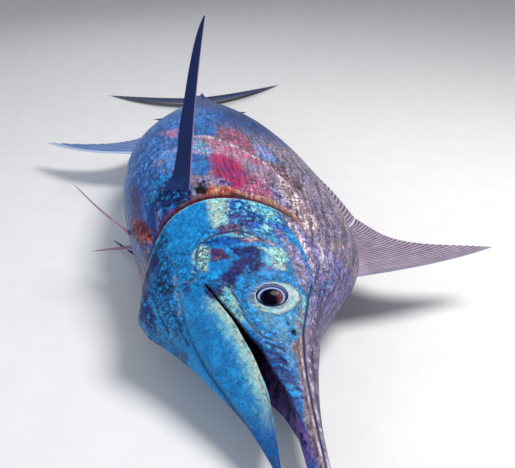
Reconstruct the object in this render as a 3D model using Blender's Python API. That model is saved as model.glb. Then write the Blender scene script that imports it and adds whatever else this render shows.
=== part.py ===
"""A black marlin at life size, lying on its left side, as separate solids.

The fish is described along its own axis. A station runs back from the tip of the lower
jaw, a height runs from belly to back, and a breadth runs from the left flank to the
right. All three are shares of the length from the lower jaw to the fork of the tail.
The spine curve then lays the fish down: bill towards -Y, back towards +X, right flank
up, and the left flank flattened where it rests on the floor at z = 0.
"""

import math

import bmesh
import bpy
import numpy as np
from mathutils import Vector

# Driving dimensions: the length from jaw to fork, and the gap left between pieces, in metres
BODY_LENGTH = 2.7
GAP = 0.0004
GAP_SHARE = GAP / BODY_LENGTH
ORIGIN_STATION = 0.32
REST_HEIGHT = 0.0765

# The slope of the spine in degrees by station: the head droops, the rear sinks
SPINE_SLOPE = [(-0.2, 10.1), (0.15, 10.1), (0.20, 9.0), (0.25, 6.0), (0.30, 2.6), (0.36, 0.0),
               (0.50, -4.5), (0.62, -7.0), (0.78, -7.0), (0.90, -7.0), (1.15, -7.0)]
SPINE_START = -0.2
SPINE_END = 1.15
SPINE_STEPS = 1350

# Outlines of the body by station, as shares of the length
BACK = [(-0.150, 0.0302), (-0.130, 0.0325), (-0.070, 0.0362), (0.0, 0.0388), (0.04, 0.0405),
        (0.071, 0.0450), (0.105, 0.0530), (0.137, 0.0640), (0.167, 0.0880), (0.196, 0.1110),
        (0.22, 0.1220), (0.26, 0.1275), (0.32, 0.1255), (0.42, 0.1130), (0.52, 0.0960),
        (0.62, 0.0785), (0.72, 0.0610), (0.82, 0.0430), (0.90, 0.0285), (0.95, 0.0205),
        (1.0, 0.0180)]
BELLY = [(0.0, -0.0015), (0.013, -0.0050), (0.027, -0.0100), (0.046, -0.0180),
         (0.069, -0.0305), (0.091, -0.0445), (0.118, -0.0615), (0.139, -0.0780),
         (0.157, -0.0930), (0.178, -0.1035), (0.207, -0.1020), (0.256, -0.1075),
         (0.30, -0.1150), (0.36, -0.1230), (0.42, -0.1260), (0.50, -0.1230), (0.62, -0.1000),
         (0.72, -0.0740), (0.82, -0.0485), (0.90, -0.0300), (0.95, -0.0215), (1.0, -0.0180)]
HALF_WIDTH = [(-0.150, 0.0003), (-0.130, 0.0042), (-0.070, 0.0082), (0.0, 0.0104),
              (0.03, 0.0125), (0.06, 0.0190), (0.09, 0.0285), (0.12, 0.0390),
              (0.141, 0.0475), (0.17, 0.0560), (0.20, 0.0640), (0.25, 0.0745), (0.32, 0.0790),
              (0.42, 0.0770), (0.52, 0.0700), (0.62, 0.0580), (0.72, 0.0440),
              (0.82, 0.0290), (0.90, 0.0185), (0.95, 0.0130), (1.0, 0.0040)]
WIDEST_HEIGHT = [(-0.150, 0.0300), (0.0, 0.0302), (0.03, 0.0290), (0.06, 0.0230),
                 (0.09, 0.0140), (0.12, 0.0040), (0.165, -0.0060), (0.22, -0.0110),
                 (0.32, -0.0140), (0.45, -0.0130), (0.62, -0.0080), (0.82, -0.0020), (1.0, 0.0)]
UPPER_FULLNESS = [(-0.150, 2.0), (0.09, 2.1), (0.141, 2.35), (0.18, 1.95), (0.24, 1.8),
                  (0.34, 1.9), (0.5, 2.0), (1.0, 2.0)]
LOWER_FULLNESS = [(-0.150, 2.0), (0.10, 1.9), (0.25, 2.0), (0.4, 2.1), (1.0, 2.0)]
SKIN_ANGLE_STEP = 1.5

# The mouth: lower edge of the upper jaw, upper edge of the lower jaw, palate and floor
UPPER_LIP = [(-0.150, 0.0300), (-0.02, 0.0300), (0.03, 0.0245), (0.05, 0.0192),
             (0.068, 0.0140), (0.08, 0.0080), (0.10, 0.0), (0.113, -0.0085),
             (0.127, -0.0170), (0.145, -0.0288), (0.166, -0.0410)]
PALATE = [(-0.150, 0.0298), (-0.130, 0.0275), (-0.070, 0.0244), (0.0, 0.0216),
          (0.03, 0.0205), (0.05, 0.0200), (0.08, 0.0170), (0.12, 0.0080), (0.166, -0.0180)]
JAW_EDGE = [(0.0, 0.0005), (0.03, 0.0012), (0.05, 0.0010), (0.068, 0.0), (0.08, -0.0030),
            (0.10, -0.0088), (0.113, -0.0142), (0.127, -0.0202), (0.145, -0.0310),
            (0.166, -0.0426)]
MOUTH_FLOOR = [(0.0, -0.0002), (0.03, -0.0020), (0.07, -0.0110), (0.12, -0.0360),
               (0.166, -0.0600)]
LIP_THICKNESS = 0.0014
LIP_SHARE = 0.2
JAW_TIP_STATION = 0.0035
JAW_HINGE_STATION = 0.1650
JAW_TIP_RINGS = [JAW_TIP_STATION, 0.006, 0.012, 0.022]
JAW_RING_START = 0.035
JAW_RINGS = 12
JAW_OUTER_COLUMNS = 9
JAW_INNER_COLUMNS = 5
THROAT_STATION = 0.1656
UPPER_JAW_RINGS = 15
TIP_OVERHANG = 0.0015

# The plate along the hind part of the upper lip stands a little proud of the cheek
MAXILLA_START = 0.104
MAXILLA_END = 0.165
MAXILLA_RISE = 0.0010
MAXILLA_COLUMNS = 3

# The bill: rings by share of its length, columns outside and across its underside
BILL_TIP_STATION = -0.1485
BILL_BASE_STATION = 0.0300
BILL_RING_SHARES = [0.0, 0.02, 0.06, 0.13, 0.22, 0.34, 0.48, 0.62, 0.75, 0.88, 1.0]
BILL_OUTER_COLUMNS = 6
BILL_INNER_COLUMNS = 5
BILL_BASE_HEIGHT = 0.030

# The gill cover: a plate let into the head, its rear rim by the angle round the body
GILL_RIM = [(0.0, 0.190), (35.0, 0.198), (52.0, 0.212), (62.0, 0.232), (75.0, 0.247),
            (90.0, 0.2535), (112.0, 0.2535), (128.0, 0.246), (142.0, 0.232), (158.0, 0.214),
            (180.0, 0.206)]
COVER_FRONT = [(0.0, 0.180), (40.0, 0.184), (55.0, 0.192), (70.0, 0.2025), (95.0, 0.210),
               (112.0, 0.208), (128.0, 0.198), (142.0, 0.188), (158.0, 0.180), (180.0, 0.178)]
COVER_THICKNESS = 0.0024
COVER_STEP = 0.0005
COVER_SHARES = [0.0, 0.33, 0.66, 1.0]
COVER_EDGE_ANGLE = 0.5
SLIT_DEPTH = 0.0037
SLIT_LENGTH = 0.030
SHOULDER_STEP = 0.02
SHOULDER_EDGE = 0.003
ANGLE_SPREAD_SHARE = 0.35
HEAD_CAP_STATION = 0.222
CHEEK_SHARES = [0.0, 0.5, 1.0]
UNDER_COVER_SHARES = [1.0 + 1e-6, 1.33, 1.66, 2.0]

# Angles round the body in degrees from the back, the gill cover's borders as close pairs
HEAD_ANGLES = [0.0, 12.0, 24.0, 36.0, 44.5, 50.5, 53.5, 61.0, 71.0, 81.0, 91.0, 101.0,
               111.0, 120.0, 129.0, 138.0, 146.0, 153.5, 156.5, 164.0, 172.0, 180.0]
COVER_FIRST = 6
COVER_LAST = 17
LIP_COLUMN = 12
TORSO_ANGLES = [180.0 * i / (len(HEAD_ANGLES) - 1) for i in range(len(HEAD_ANGLES))]
TAIL_ANGLES = [0.0, 18.0, 36.0, 52.0, 62.0, 70.0, 78.0, 90.0, 102.0, 110.0, 118.0, 128.0,
               144.0, 162.0, 180.0]

# The torso's lengths, with the rings of the front one as shares from the gill rim back
TORSO_SPLIT = 0.46
TAIL_SPLIT = 0.75
TAIL_END = 0.976
TORSO_SHARES = [0.035, 0.08, 0.14, 0.22, 0.32, 0.43, 0.55, 0.68, 0.84]
TORSO_REAR_RINGS = 9
TAIL_STATIONS = [TAIL_SPLIT, 0.785, 0.82, 0.855, 0.885, 0.905, 0.915, 0.927, 0.939, 0.951,
                 0.962, 0.972, TAIL_END - GAP_SHARE]

# The two small keels on each side of the tail stalk
KEEL_START = 0.905
KEEL_END = 0.972
KEEL_RISE = 0.0065
KEEL_ANGLES = (70.0, 110.0)
KEEL_SPREAD = 9.0

# The eye: a lens-shaped ball set in a socket of its own shape
EYE_STATION = 0.1448
EYE_HEIGHT = 0.0160
EYE_RADII = (0.0400, 0.0475, 0.0260)
EYE_PROUD = 0.0095
EYE_SEGMENTS = 18
EYE_RINGS = 10

# The paired nostrils in front of each eye
NOSTRIL_PLACES = [(0.109, 0.0262), (0.1135, 0.0280)]
NOSTRIL_RADII = (0.0055, 0.0032, 0.0060)
NOSTRIL_PROUD = 0.001
NOSTRIL_SEGMENTS = 10
NOSTRIL_RINGS = 6
LENS_STATION_STEP = 0.01
LENS_ANGLE_STEP = 4.0

# Fins in the mid-plane: each ray's base station, its height above the body and the rake
# of its tip. The first ray is the leading edge, and the ray tips are the hind margin.
DORSAL_LOBE = [(0.2040, 0.160, 0.0250), (0.2090, 0.146, 0.0230), (0.2150, 0.123, 0.0215),
               (0.2220, 0.097, 0.0195), (0.2300, 0.073, 0.0175), (0.2400, 0.053, 0.0160),
               (0.2520, 0.038, 0.0155), (0.2680, 0.026, 0.0170), (0.2850, 0.015, 0.0220)]
DORSAL_REAR = [(0.2858, 0.0148, 0.0222), (0.33, 0.0125, 0.026), (0.50, 0.0115, 0.026),
               (0.62, 0.0095, 0.022), (0.71, 0.0060, 0.016)]
ANAL_FIRST = [(0.5850, 0.160, 0.112), (0.5920, 0.130, 0.089), (0.6020, 0.095, 0.064),
              (0.6160, 0.063, 0.043), (0.6350, 0.038, 0.030), (0.6650, 0.020, 0.022),
              (0.7200, 0.010, 0.016)]
DORSAL_SECOND = [(0.8000, 0.038, 0.026), (0.8080, 0.028, 0.022), (0.8200, 0.018, 0.018),
                 (0.8350, 0.011, 0.018), (0.8500, 0.007, 0.034)]
ANAL_SECOND = [(0.7900, 0.038, 0.026), (0.7980, 0.028, 0.022), (0.8100, 0.018, 0.018),
               (0.8250, 0.011, 0.018), (0.8400, 0.007, 0.034)]
FIN_SINK = 0.004
FIN_RIDGE = 0.0024
FIN_RIDGE_FADE = 0.8
RAY_BULGE = 0.6

# Each fin in the mid-plane: outline, rays, side, rows, the share of its rake at a ray's
# bend, the bodies it is cut to, finish, and its thickness at the root and the margin
MEDIAN_FINS = {
    "dorsal_fin_lobe": (DORSAL_LOBE, 14, 1, 7, 0.18, ("front",), "dorsal", 0.007, 0.0022),
    "dorsal_fin_rear": (DORSAL_REAR, 25, 1, 3, 0.35, ("front", "rear"), "dorsal", 0.006, 0.0022),
    "anal_fin_first": (ANAL_FIRST, 14, -1, 7, 0.10, ("rear",), "fin", 0.008, 0.0022),
    "dorsal_fin_second": (DORSAL_SECOND, 6, 1, 5, 0.20, ("tail",), "fin", 0.005, 0.0020),
    "anal_fin_second": (ANAL_SECOND, 6, -1, 5, 0.20, ("tail",), "fin", 0.005, 0.0020),
}

# The right pectoral stands square off the flank, the left one lies out on the floor
PECTORAL_ROOT = [(0.2735, -0.0460), (0.2910, -0.0740)]
PECTORAL_TIP = {1: (0.300, -0.0185, 0.237), -1: (0.4300, -0.1480, -0.0700)}
PECTORAL_WIDTH = [(0.0, 1.12), (0.08, 0.90), (0.13, 0.68), (0.20, 0.57), (0.42, 0.48),
                  (0.56, 0.40), (0.78, 0.30), (0.90, 0.21), (0.97, 0.11), (1.0, 0.05)]
PECTORAL_RAYS = 7
PECTORAL_ROW_SHARES = [0.0, 0.06, 0.12, 0.20, 0.31, 0.44, 0.58, 0.72, 0.84, 0.93, 0.98, 1.0]
PECTORAL_SINK = 0.006
PECTORAL_LEAN = {1: 0.004, -1: 0.0}
PECTORAL_SWEEP = 0.006
PECTORAL_DROP = 0.006
PECTORAL_THICKNESS = (0.016, 0.003)
PECTORAL_RIDGE = 0.003

# The thin pelvic fins under the chest
PELVIC_ROOT = (0.292, -0.1135, 0.0060)
PELVIC_REACH = {1: (0.058, -0.060, 0.046), -1: (0.066, -0.056, -0.038)}
PELVIC_CHORD = 0.0085
PELVIC_RAYS = 3
PELVIC_ROWS = 6
PELVIC_TAPER = 0.12
PELVIC_TIP_CHORD = 0.2
PELVIC_BEND = 0.006
PELVIC_SINK = 0.005
PELVIC_THICKNESS = (0.006, 0.0016)
PELVIC_RIDGE = 0.0014

# The crescent tail: each lobe's rays fan from the stalk's end to the hind margin
TAIL_MARGIN_STATION = [(0.0, 1.000), (0.25, 1.008), (0.5, 1.027), (0.75, 1.059), (1.0, 1.098)]
TAIL_MARGIN_HEIGHT = [(0.0, 0.0002), (0.25, 0.034), (0.5, 0.078), (0.75, 0.133), (1.0, 0.196)]
TAIL_LEAD_BEND = (0.985, 0.104)
TAIL_RAYS = 12
TAIL_ROWS = 7
TAIL_THICKNESS = (0.018, 0.0025)
TAIL_RIDGE = 0.003

COLOURS = {
    "bill": (0.42, 0.36, 0.36, 1.0),
    "head": (0.10, 0.42, 0.58, 1.0),
    "jaw": (0.20, 0.52, 0.66, 1.0),
    "gill_cover": (0.14, 0.48, 0.64, 1.0),
    "body": (0.24, 0.28, 0.42, 1.0),
    "tail": (0.14, 0.18, 0.32, 1.0),
    "fin": (0.05, 0.07, 0.16, 1.0),
    "dorsal": (0.50, 0.42, 0.52, 1.0),
    "eye": (0.02, 0.02, 0.04, 1.0),
}
SKIN_ROUGHNESS = 0.38
EYE_ROUGHNESS = 0.12
SHARP_ANGLE = 40.0


def follow(points, value):
    """Read a smooth curve through the outline's points at the given value."""
    count = len(points)
    if value <= points[0][0]:
        return points[0][1]
    if value >= points[-1][0]:
        return points[-1][1]
    spans = [points[i + 1][0] - points[i][0] for i in range(count - 1)]
    rises = [(points[i + 1][1] - points[i][1]) / spans[i] for i in range(count - 1)]
    index = max(i for i in range(count - 1) if points[i][0] <= value)
    tangents = []
    for i in (index, index + 1):
        if i == 0:
            tangents.append(rises[0])
        elif i == count - 1:
            tangents.append(rises[-1])
        else:
            weighted = spans[i] * rises[i - 1] + spans[i - 1] * rises[i]
            tangents.append(weighted / (spans[i] + spans[i - 1]))
    span = spans[index]
    t = (value - points[index][0]) / span
    start = points[index][1] * (1 + 2 * t) * (1 - t) ** 2 + span * tangents[0] * t * (1 - t) ** 2
    end = points[index + 1][1] * t * t * (3 - 2 * t) + span * tangents[1] * t * t * (t - 1)
    return start + end


def trace_spine():
    """Add up the spine's slope into tables of station, distance back, height and slope."""
    stations = np.linspace(SPINE_START, SPINE_END, SPINE_STEPS + 1)
    slopes = np.radians([follow(SPINE_SLOPE, s) for s in stations])
    step = stations[1] - stations[0]
    middle = 0.5 * (slopes[1:] + slopes[:-1])
    back = np.concatenate([[0.0], np.cumsum(np.cos(middle)) * step])
    rise = np.concatenate([[0.0], np.cumsum(np.sin(middle)) * step])
    back -= np.interp(ORIGIN_STATION, stations, back)
    rise += REST_HEIGHT - np.interp(ORIGIN_STATION, stations, rise)
    return stations, back, rise, slopes


SPINE = trace_spine()


def place(station, height, breadth):
    """Turn a point of the fish into a point of the world, never below the floor."""
    stations, back, rise, slopes = SPINE
    y = float(np.interp(station, stations, back))
    z = float(np.interp(station, stations, rise))
    slope = float(np.interp(station, stations, slopes))
    point = Vector((height, y - breadth * math.sin(slope), z + breadth * math.cos(slope)))
    point *= BODY_LENGTH
    point.z = max(point.z, 0.0)
    return point


def section(station, angle):
    """Height and breadth of the body's outside at an angle in degrees from the back."""
    widest = follow(WIDEST_HEIGHT, station)
    half = follow(HALF_WIDTH, station)
    cosine = math.cos(math.radians(angle))
    sine = math.sin(math.radians(angle))
    if cosine >= 0.0:
        power = 2.0 / follow(UPPER_FULLNESS, station)
        reach = follow(BACK, station) - widest
    else:
        power = 2.0 / follow(LOWER_FULLNESS, station)
        reach = follow(BELLY, station) - widest
    height = widest + reach * abs(cosine) ** power
    breadth = math.copysign(half * abs(sine) ** power, sine)
    return height, breadth + math.copysign(keel_rise(station, angle), sine)


def keel_rise(station, angle):
    """How far the keels of the tail stalk stand out at a place on the body."""
    if not KEEL_START < station < KEEL_END:
        return 0.0
    along = math.sin(math.pi * (station - KEEL_START) / (KEEL_END - KEEL_START))
    folded = angle if angle <= 180.0 else 360.0 - angle
    across = sum(math.exp(-((folded - a) / KEEL_SPREAD) ** 2) for a in KEEL_ANGLES)
    return KEEL_RISE * along * across


def angle_at(station, height):
    """The angle in degrees at which the body's right outline passes a height."""
    widest = follow(WIDEST_HEIGHT, station)
    if height >= widest:
        share = (height - widest) / (follow(BACK, station) - widest)
        return math.degrees(math.acos(min(1.0, share) ** (follow(UPPER_FULLNESS, station) / 2)))
    share = (widest - height) / (widest - follow(BELLY, station))
    return 180.0 - math.degrees(math.acos(min(1.0, share) ** (follow(LOWER_FULLNESS, station) / 2)))


def inset_section(station, angle, inset):
    """The body's outside at an angle, moved inwards square to the outline."""
    height, breadth = section(station, angle)
    if inset == 0.0:
        return height, breadth
    before = section(station, angle - SKIN_ANGLE_STEP)
    after = section(station, angle + SKIN_ANGLE_STEP)
    across = Vector((after[0] - before[0], after[1] - before[1])).normalized()
    return height - across.y * inset, breadth + across.x * inset


def full_circle(half_angles):
    """Complete a list of angles from back to belly with those of the left flank."""
    return half_angles + [360.0 - a for a in reversed(half_angles[1:-1])]


def axis_point(station):
    """The middle of the body at a station."""
    return place(station, follow(WIDEST_HEIGHT, station), 0.0)


def spaced(first, last, count):
    """Evenly spaced values from the first to the last."""
    return [first + (last - first) * i / (count - 1) for i in range(count)]


def between(first, last, share):
    """Mix two points of the fish, a share of the way from the first to the last."""
    return [a + (b - a) * share for a, b in zip(first, last)]


def material(name):
    """The finish of a sub-part."""
    made = bpy.data.materials.get(name) or bpy.data.materials.new(name)
    made.use_nodes = True
    shader = made.node_tree.nodes["Principled BSDF"]
    shader.inputs["Base Color"].default_value = COLOURS[name]
    shader.inputs["Roughness"].default_value = EYE_ROUGHNESS if name == "eye" else SKIN_ROUGHNESS
    shader.inputs["Metallic"].default_value = 0.0
    return made


def make_object(name, mesh_builder, collection, finish=None):
    """Store a bmesh as a named object with its normals pointing out."""
    bmesh.ops.recalc_face_normals(mesh_builder, faces=mesh_builder.faces)
    if mesh_builder.calc_volume(signed=True) < 0.0:
        bmesh.ops.reverse_faces(mesh_builder, faces=mesh_builder.faces)
    mesh = bpy.data.meshes.new(name)
    mesh_builder.to_mesh(mesh)
    mesh_builder.free()
    made = bpy.data.objects.new(name, mesh)
    collection.objects.link(made)
    if finish:
        mesh.materials.append(material(finish))
    mesh.shade_smooth()
    mesh.set_sharp_from_angle(angle=math.radians(SHARP_ANGLE))
    return made


def hide(cutter):
    """Mark an object as a cutter that is not part of the fish."""
    cutter.hide_render = True
    cutter.display_type = "WIRE"


def split_quad(builder, corners, flip):
    """Fill four corners with two triangles, cut along one diagonal or the other."""
    a, b, c, d = corners
    if flip:
        builder.faces.new((a, b, d))
        builder.faces.new((b, c, d))
    else:
        builder.faces.new((a, b, c))
        builder.faces.new((a, c, d))


def loft(rings, front, rear):
    """Skin a row of closed rings and close each end on its own middle point."""
    builder = bmesh.new()
    rows = [[builder.verts.new(p) for p in ring] for ring in rings]
    count = len(rows[0])
    for near, far in zip(rows, rows[1:]):
        for j in range(count):
            k = (j + 1) % count
            split_quad(builder, (near[j], near[k], far[k], far[j]), j < count // 2)
    for row, middle in ((rows[0], front), (rows[-1], rear)):
        pole = builder.verts.new(middle)
        for j in range(count):
            builder.faces.new((row[j], row[(j + 1) % count], pole))
    return builder


def sheet(upper, lower):
    """Close two grids of points, face to face, into one thin solid."""
    builder = bmesh.new()
    faces = [[[builder.verts.new(p) for p in row] for row in grid] for grid in (upper, lower)]
    rows = len(upper)
    columns = len(upper[0])
    for grid in faces:
        for i in range(rows - 1):
            for j in range(columns - 1):
                corners = (grid[i][j], grid[i][j + 1], grid[i + 1][j + 1], grid[i + 1][j])
                split_quad(builder, corners, True)
    border = [(i, 0) for i in range(rows)]
    border += [(rows - 1, j) for j in range(1, columns)]
    border += [(i, columns - 1) for i in range(rows - 2, -1, -1)]
    border += [(0, j) for j in range(columns - 2, 0, -1)]
    for (i, j), (k, m) in zip(border, border[1:] + border[:1]):
        corners = (faces[0][i][j], faces[0][k][m], faces[1][k][m], faces[1][i][j])
        split_quad(builder, corners, True)
    return builder


def mirror_ring(half):
    """Complete the right half of a ring with the left half and place it in the world."""
    right = [place(s, height, breadth) for s, height, breadth in half]
    left = [place(s, height, -breadth) for s, height, breadth in reversed(half[1:-1])]
    return right + left


def mouth_arch(station, edge, arch, side, columns):
    """Points inside a jaw, from just inside its lip at one side to the middle of its arch."""
    points = []
    for i in range(columns + 1):
        turn = i / columns * math.pi / 2
        height = edge + (arch - edge) * math.sin(turn)
        points.append((station, height, side * math.cos(turn)))
    return points


def make_bill(collection):
    """The stout round bill, from its tip to where the jaws part."""
    length = BILL_BASE_STATION - GAP_SHARE - BILL_TIP_STATION
    rings = []
    for share in BILL_RING_SHARES:
        station = BILL_TIP_STATION + share * length
        lip = follow(UPPER_LIP, station)
        lip_angle = angle_at(station, lip)
        half = [(station, *section(station, angle))
                for angle in spaced(0.0, lip_angle, BILL_OUTER_COLUMNS + 1)]
        side = half[-1][2]
        inside = mouth_arch(station, lip, follow(PALATE, station), side, BILL_INNER_COLUMNS)
        rings.append(mirror_ring(half + inside[1:]))
    tip_height = follow(WIDEST_HEIGHT, BILL_TIP_STATION)
    tip = place(BILL_TIP_STATION - TIP_OVERHANG, tip_height, 0.0)
    base = place(BILL_BASE_STATION - GAP_SHARE, BILL_BASE_HEIGHT, 0.0)
    return make_object("bill", loft(rings, tip, base), collection, "bill")


def maxilla_rise(station, column):
    """How far the lip's plate stands proud at a column of the upper jaw."""
    if column <= LIP_COLUMN - MAXILLA_COLUMNS or not MAXILLA_START < station < MAXILLA_END:
        return 0.0
    share = (station - MAXILLA_START) / (MAXILLA_END - MAXILLA_START)
    return MAXILLA_RISE * math.sin(math.pi * share)


def upper_jaw_ring(station):
    """A ring round the upper jaw: the outside down to the lip, then the palate."""
    lip = follow(UPPER_LIP, station)
    scale = angle_at(station, lip) / HEAD_ANGLES[LIP_COLUMN]
    half = []
    for column, angle in enumerate(HEAD_ANGLES[:LIP_COLUMN + 1]):
        rise = maxilla_rise(station, column)
        half.append((station, *inset_section(station, angle * scale, -rise)))
    lip_height, lip_breadth = half[-1][1:]
    inner = lip_breadth - min(LIP_THICKNESS, LIP_SHARE * lip_breadth)
    columns = len(HEAD_ANGLES) - LIP_COLUMN - 2
    return mirror_ring(half + mouth_arch(station, lip_height, follow(PALATE, station), inner, columns))


def cover_row(half_index):
    """Whether a column of the head lies under the gill cover."""
    return COVER_FIRST <= half_index <= COVER_LAST


def head_ring(share, rear_inset):
    """A ring behind the jaw: share 0 to 1 up to the cover's front, 1 to 2 to its rim."""
    half = []
    for i, angle in enumerate(HEAD_ANGLES):
        front = follow(COVER_FRONT, angle)
        rim = follow(GILL_RIM, angle)
        if share <= 1.0:
            station = THROAT_STATION + (front - COVER_STEP - THROAT_STATION) * share
            inset = 0.0
        else:
            station = front + COVER_STEP + (rim - front - COVER_STEP) * (share - 1.0)
            inset = rear_inset if cover_row(i) else 0.0
        half.append((station, *inset_section(station, angle, inset)))
    return mirror_ring(half)


def make_head(collection, cutters):
    """The head from the base of the bill to the gill slit, with sockets and nostrils."""
    rings = [upper_jaw_ring(station)
             for station in spaced(BILL_BASE_STATION, JAW_HINGE_STATION, UPPER_JAW_RINGS)]
    rings += [head_ring(share, 0.0) for share in CHEEK_SHARES]
    rings += [head_ring(share, COVER_THICKNESS + GAP_SHARE) for share in UNDER_COVER_SHARES]
    front = place(BILL_BASE_STATION, BILL_BASE_HEIGHT, 0.0)
    rear = axis_point(HEAD_CAP_STATION)
    head = make_object("head", loft(rings, front, rear), collection, "head")
    cut = head.modifiers.new("sockets and nostrils", "BOOLEAN")
    cut.operation = "DIFFERENCE"
    cut.operand_type = "COLLECTION"
    cut.collection = cutters


def make_lower_jaw(collection):
    """The lower jaw, its edge held open below the bill, hollowed along its floor."""
    rings = []
    hinge = JAW_HINGE_STATION - GAP_SHARE
    for station in JAW_TIP_RINGS + spaced(JAW_RING_START, hinge, JAW_RINGS):
        edge = follow(JAW_EDGE, station)
        half = [(station, *section(station, angle))
                for angle in spaced(180.0, angle_at(station, edge), JAW_OUTER_COLUMNS + 1)]
        side = half[-1][2]
        inner = side - min(LIP_THICKNESS, LIP_SHARE * side)
        floor = follow(MOUTH_FLOOR, station)
        rings.append(mirror_ring(half + mouth_arch(station, edge, floor, inner, JAW_INNER_COLUMNS)))
    tip = place(JAW_TIP_STATION - TIP_OVERHANG, 0.0, 0.0)
    rear = place(hinge, follow(MOUTH_FLOOR, hinge) - LIP_THICKNESS, 0.0)
    return make_object("lower_jaw", loft(rings, tip, rear), collection, "jaw")


def make_gill_cover(name, side, collection):
    """One gill cover: a curved plate over the head, its rear rim free over the slit."""
    angles = HEAD_ANGLES[COVER_FIRST:COVER_LAST + 1]
    angles = [angles[0] + COVER_EDGE_ANGLE] + angles[1:-1] + [angles[-1] - COVER_EDGE_ANGLE]
    layers = []
    for inset in (0.0, COVER_THICKNESS):
        rows = []
        for share in COVER_SHARES:
            row = []
            for angle in angles:
                front = follow(COVER_FRONT, angle) + 2 * COVER_STEP
                station = front + (follow(GILL_RIM, angle) - GAP_SHARE - front) * share
                height, breadth = inset_section(station, angle, inset)
                row.append(place(station, height, side * breadth))
            rows.append(row)
        layers.append(rows)
    return make_object(name, sheet(layers[0], layers[1]), collection, "gill_cover")


def torso_ring(share, last, outward=0.0):
    """A ring of the torso, its station running from the slanting rim to a plain cut."""
    spread = min(1.0, share / ANGLE_SPREAD_SHARE)
    half = []
    for i, (at_rim, behind) in enumerate(zip(HEAD_ANGLES, TORSO_ANGLES)):
        rim = follow(GILL_RIM, at_rim)
        station = rim + (last - rim) * share
        angle = at_rim + (behind - at_rim) * spread
        away = min(1.0, (station - rim) / SLIT_LENGTH)
        dip = SLIT_DEPTH * (1.0 - away) ** 2 if cover_row(i) else 0.0
        half.append((station, *inset_section(station, angle, dip - outward)))
    return mirror_ring(half)


def plain_ring(station, half_angles, outward=0.0):
    """A ring square across the body."""
    return [place(station, *inset_section(station, angle, -outward))
            for angle in full_circle(half_angles)]


def torso_front_rings(outward=0.0):
    """The rings of the front torso, the first lying on the head's rear face."""
    middle = axis_point(HEAD_CAP_STATION)
    rear_face = head_ring(UNDER_COVER_SHARES[-1], COVER_THICKNESS + GAP_SHARE)
    first = [p.lerp(middle, SHOULDER_STEP) + Vector((0.0, GAP, 0.0)) for p in rear_face]
    rings = [first, [p + Vector((0.0, SHOULDER_EDGE, 0.0)) for p in first]]
    rings += [torso_ring(share, TORSO_SPLIT, outward) for share in TORSO_SHARES]
    rings.append(plain_ring(TORSO_SPLIT - GAP_SHARE, TORSO_ANGLES, outward))
    return rings


def torso_rear_rings(outward=0.0):
    """The rings of the rear torso."""
    stations = spaced(TORSO_SPLIT, TAIL_SPLIT - GAP_SHARE, TORSO_REAR_RINGS)
    return [plain_ring(station, TORSO_ANGLES, outward) for station in stations]


def tail_rings(outward=0.0):
    """The rings of the tail stalk, closer together over its keels."""
    return [plain_ring(station, TAIL_ANGLES, outward) for station in TAIL_STATIONS]


def make_torso(collection):
    """The three lengths of the body behind the head."""
    middle = axis_point(HEAD_CAP_STATION) + Vector((0.0, GAP, 0.0))
    front = loft(torso_front_rings(), middle, axis_point(TORSO_SPLIT - GAP_SHARE))
    make_object("torso_front", front, collection, "body")
    rear = loft(torso_rear_rings(), axis_point(TORSO_SPLIT), axis_point(TAIL_SPLIT - GAP_SHARE))
    make_object("torso_rear", rear, collection, "body")
    tail = loft(tail_rings(), axis_point(TAIL_SPLIT), axis_point(TAIL_END - GAP_SHARE))
    make_object("tail_stalk", tail, collection, "tail")


def body_cutters(collection):
    """The three lengths of the body a hair larger, to trim the fins' roots to them."""
    groups = {
        "front": (torso_front_rings(GAP_SHARE), HEAD_CAP_STATION, TORSO_SPLIT),
        "rear": (torso_rear_rings(GAP_SHARE), TORSO_SPLIT, TAIL_SPLIT),
        "tail": (tail_rings(GAP_SHARE), TAIL_SPLIT, TAIL_END),
    }
    made = {}
    for name, (rings, first, last) in groups.items():
        mesh = loft(rings, axis_point(first), axis_point(last))
        made[name] = make_object("trim_" + name, mesh, collection)
        hide(made[name])
    return made


def ray_fin(paths, thickness, ridge):
    """A fin of rays: paths run from root to margin, every second one a raised ray."""
    columns = len(paths)
    rows = len(paths[0])
    upper = []
    lower = []
    for i in range(rows):
        share = i / (rows - 1)
        top_row = []
        low_row = []
        for j in range(columns):
            here = paths[j][i]
            along = paths[j][min(i + 1, rows - 1)] - paths[j][max(i - 1, 0)]
            across = paths[min(j + 1, columns - 1)][i] - paths[max(j - 1, 0)][i]
            normal = along.cross(across).normalized()
            half = 0.5 * (thickness[0] + (thickness[1] - thickness[0]) * share)
            if j % 2 == 0:
                half += 0.5 * ridge * (1.0 - FIN_RIDGE_FADE * share)
            top_row.append(on_floor(here + normal * half))
            low_row.append(on_floor(here - normal * half))
        upper.append(top_row)
        lower.append(low_row)
    return sheet(upper, lower)


def on_floor(point):
    """Keep a fin's point on or above the floor."""
    return Vector((point.x, point.y, max(point.z, 0.0)))


def curve_path(start, bend, end, rows):
    """Points along a quadratic curve from root to margin."""
    return [curve_point(start, bend, end, t) for t in spaced(0.0, 1.0, rows)]


def curve_point(start, bend, end, t):
    """The point a share of the way along a quadratic curve."""
    return [a * (1 - t) ** 2 + 2 * b * t * (1 - t) + c * t * t
            for a, b, c in zip(start, bend, end)]


def trim(fin, cutter):
    """Cut a fin's root to the body."""
    cut = fin.modifiers.new("root trimmed to the body", "BOOLEAN")
    cut.operation = "DIFFERENCE"
    cut.object = cutter


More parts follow.
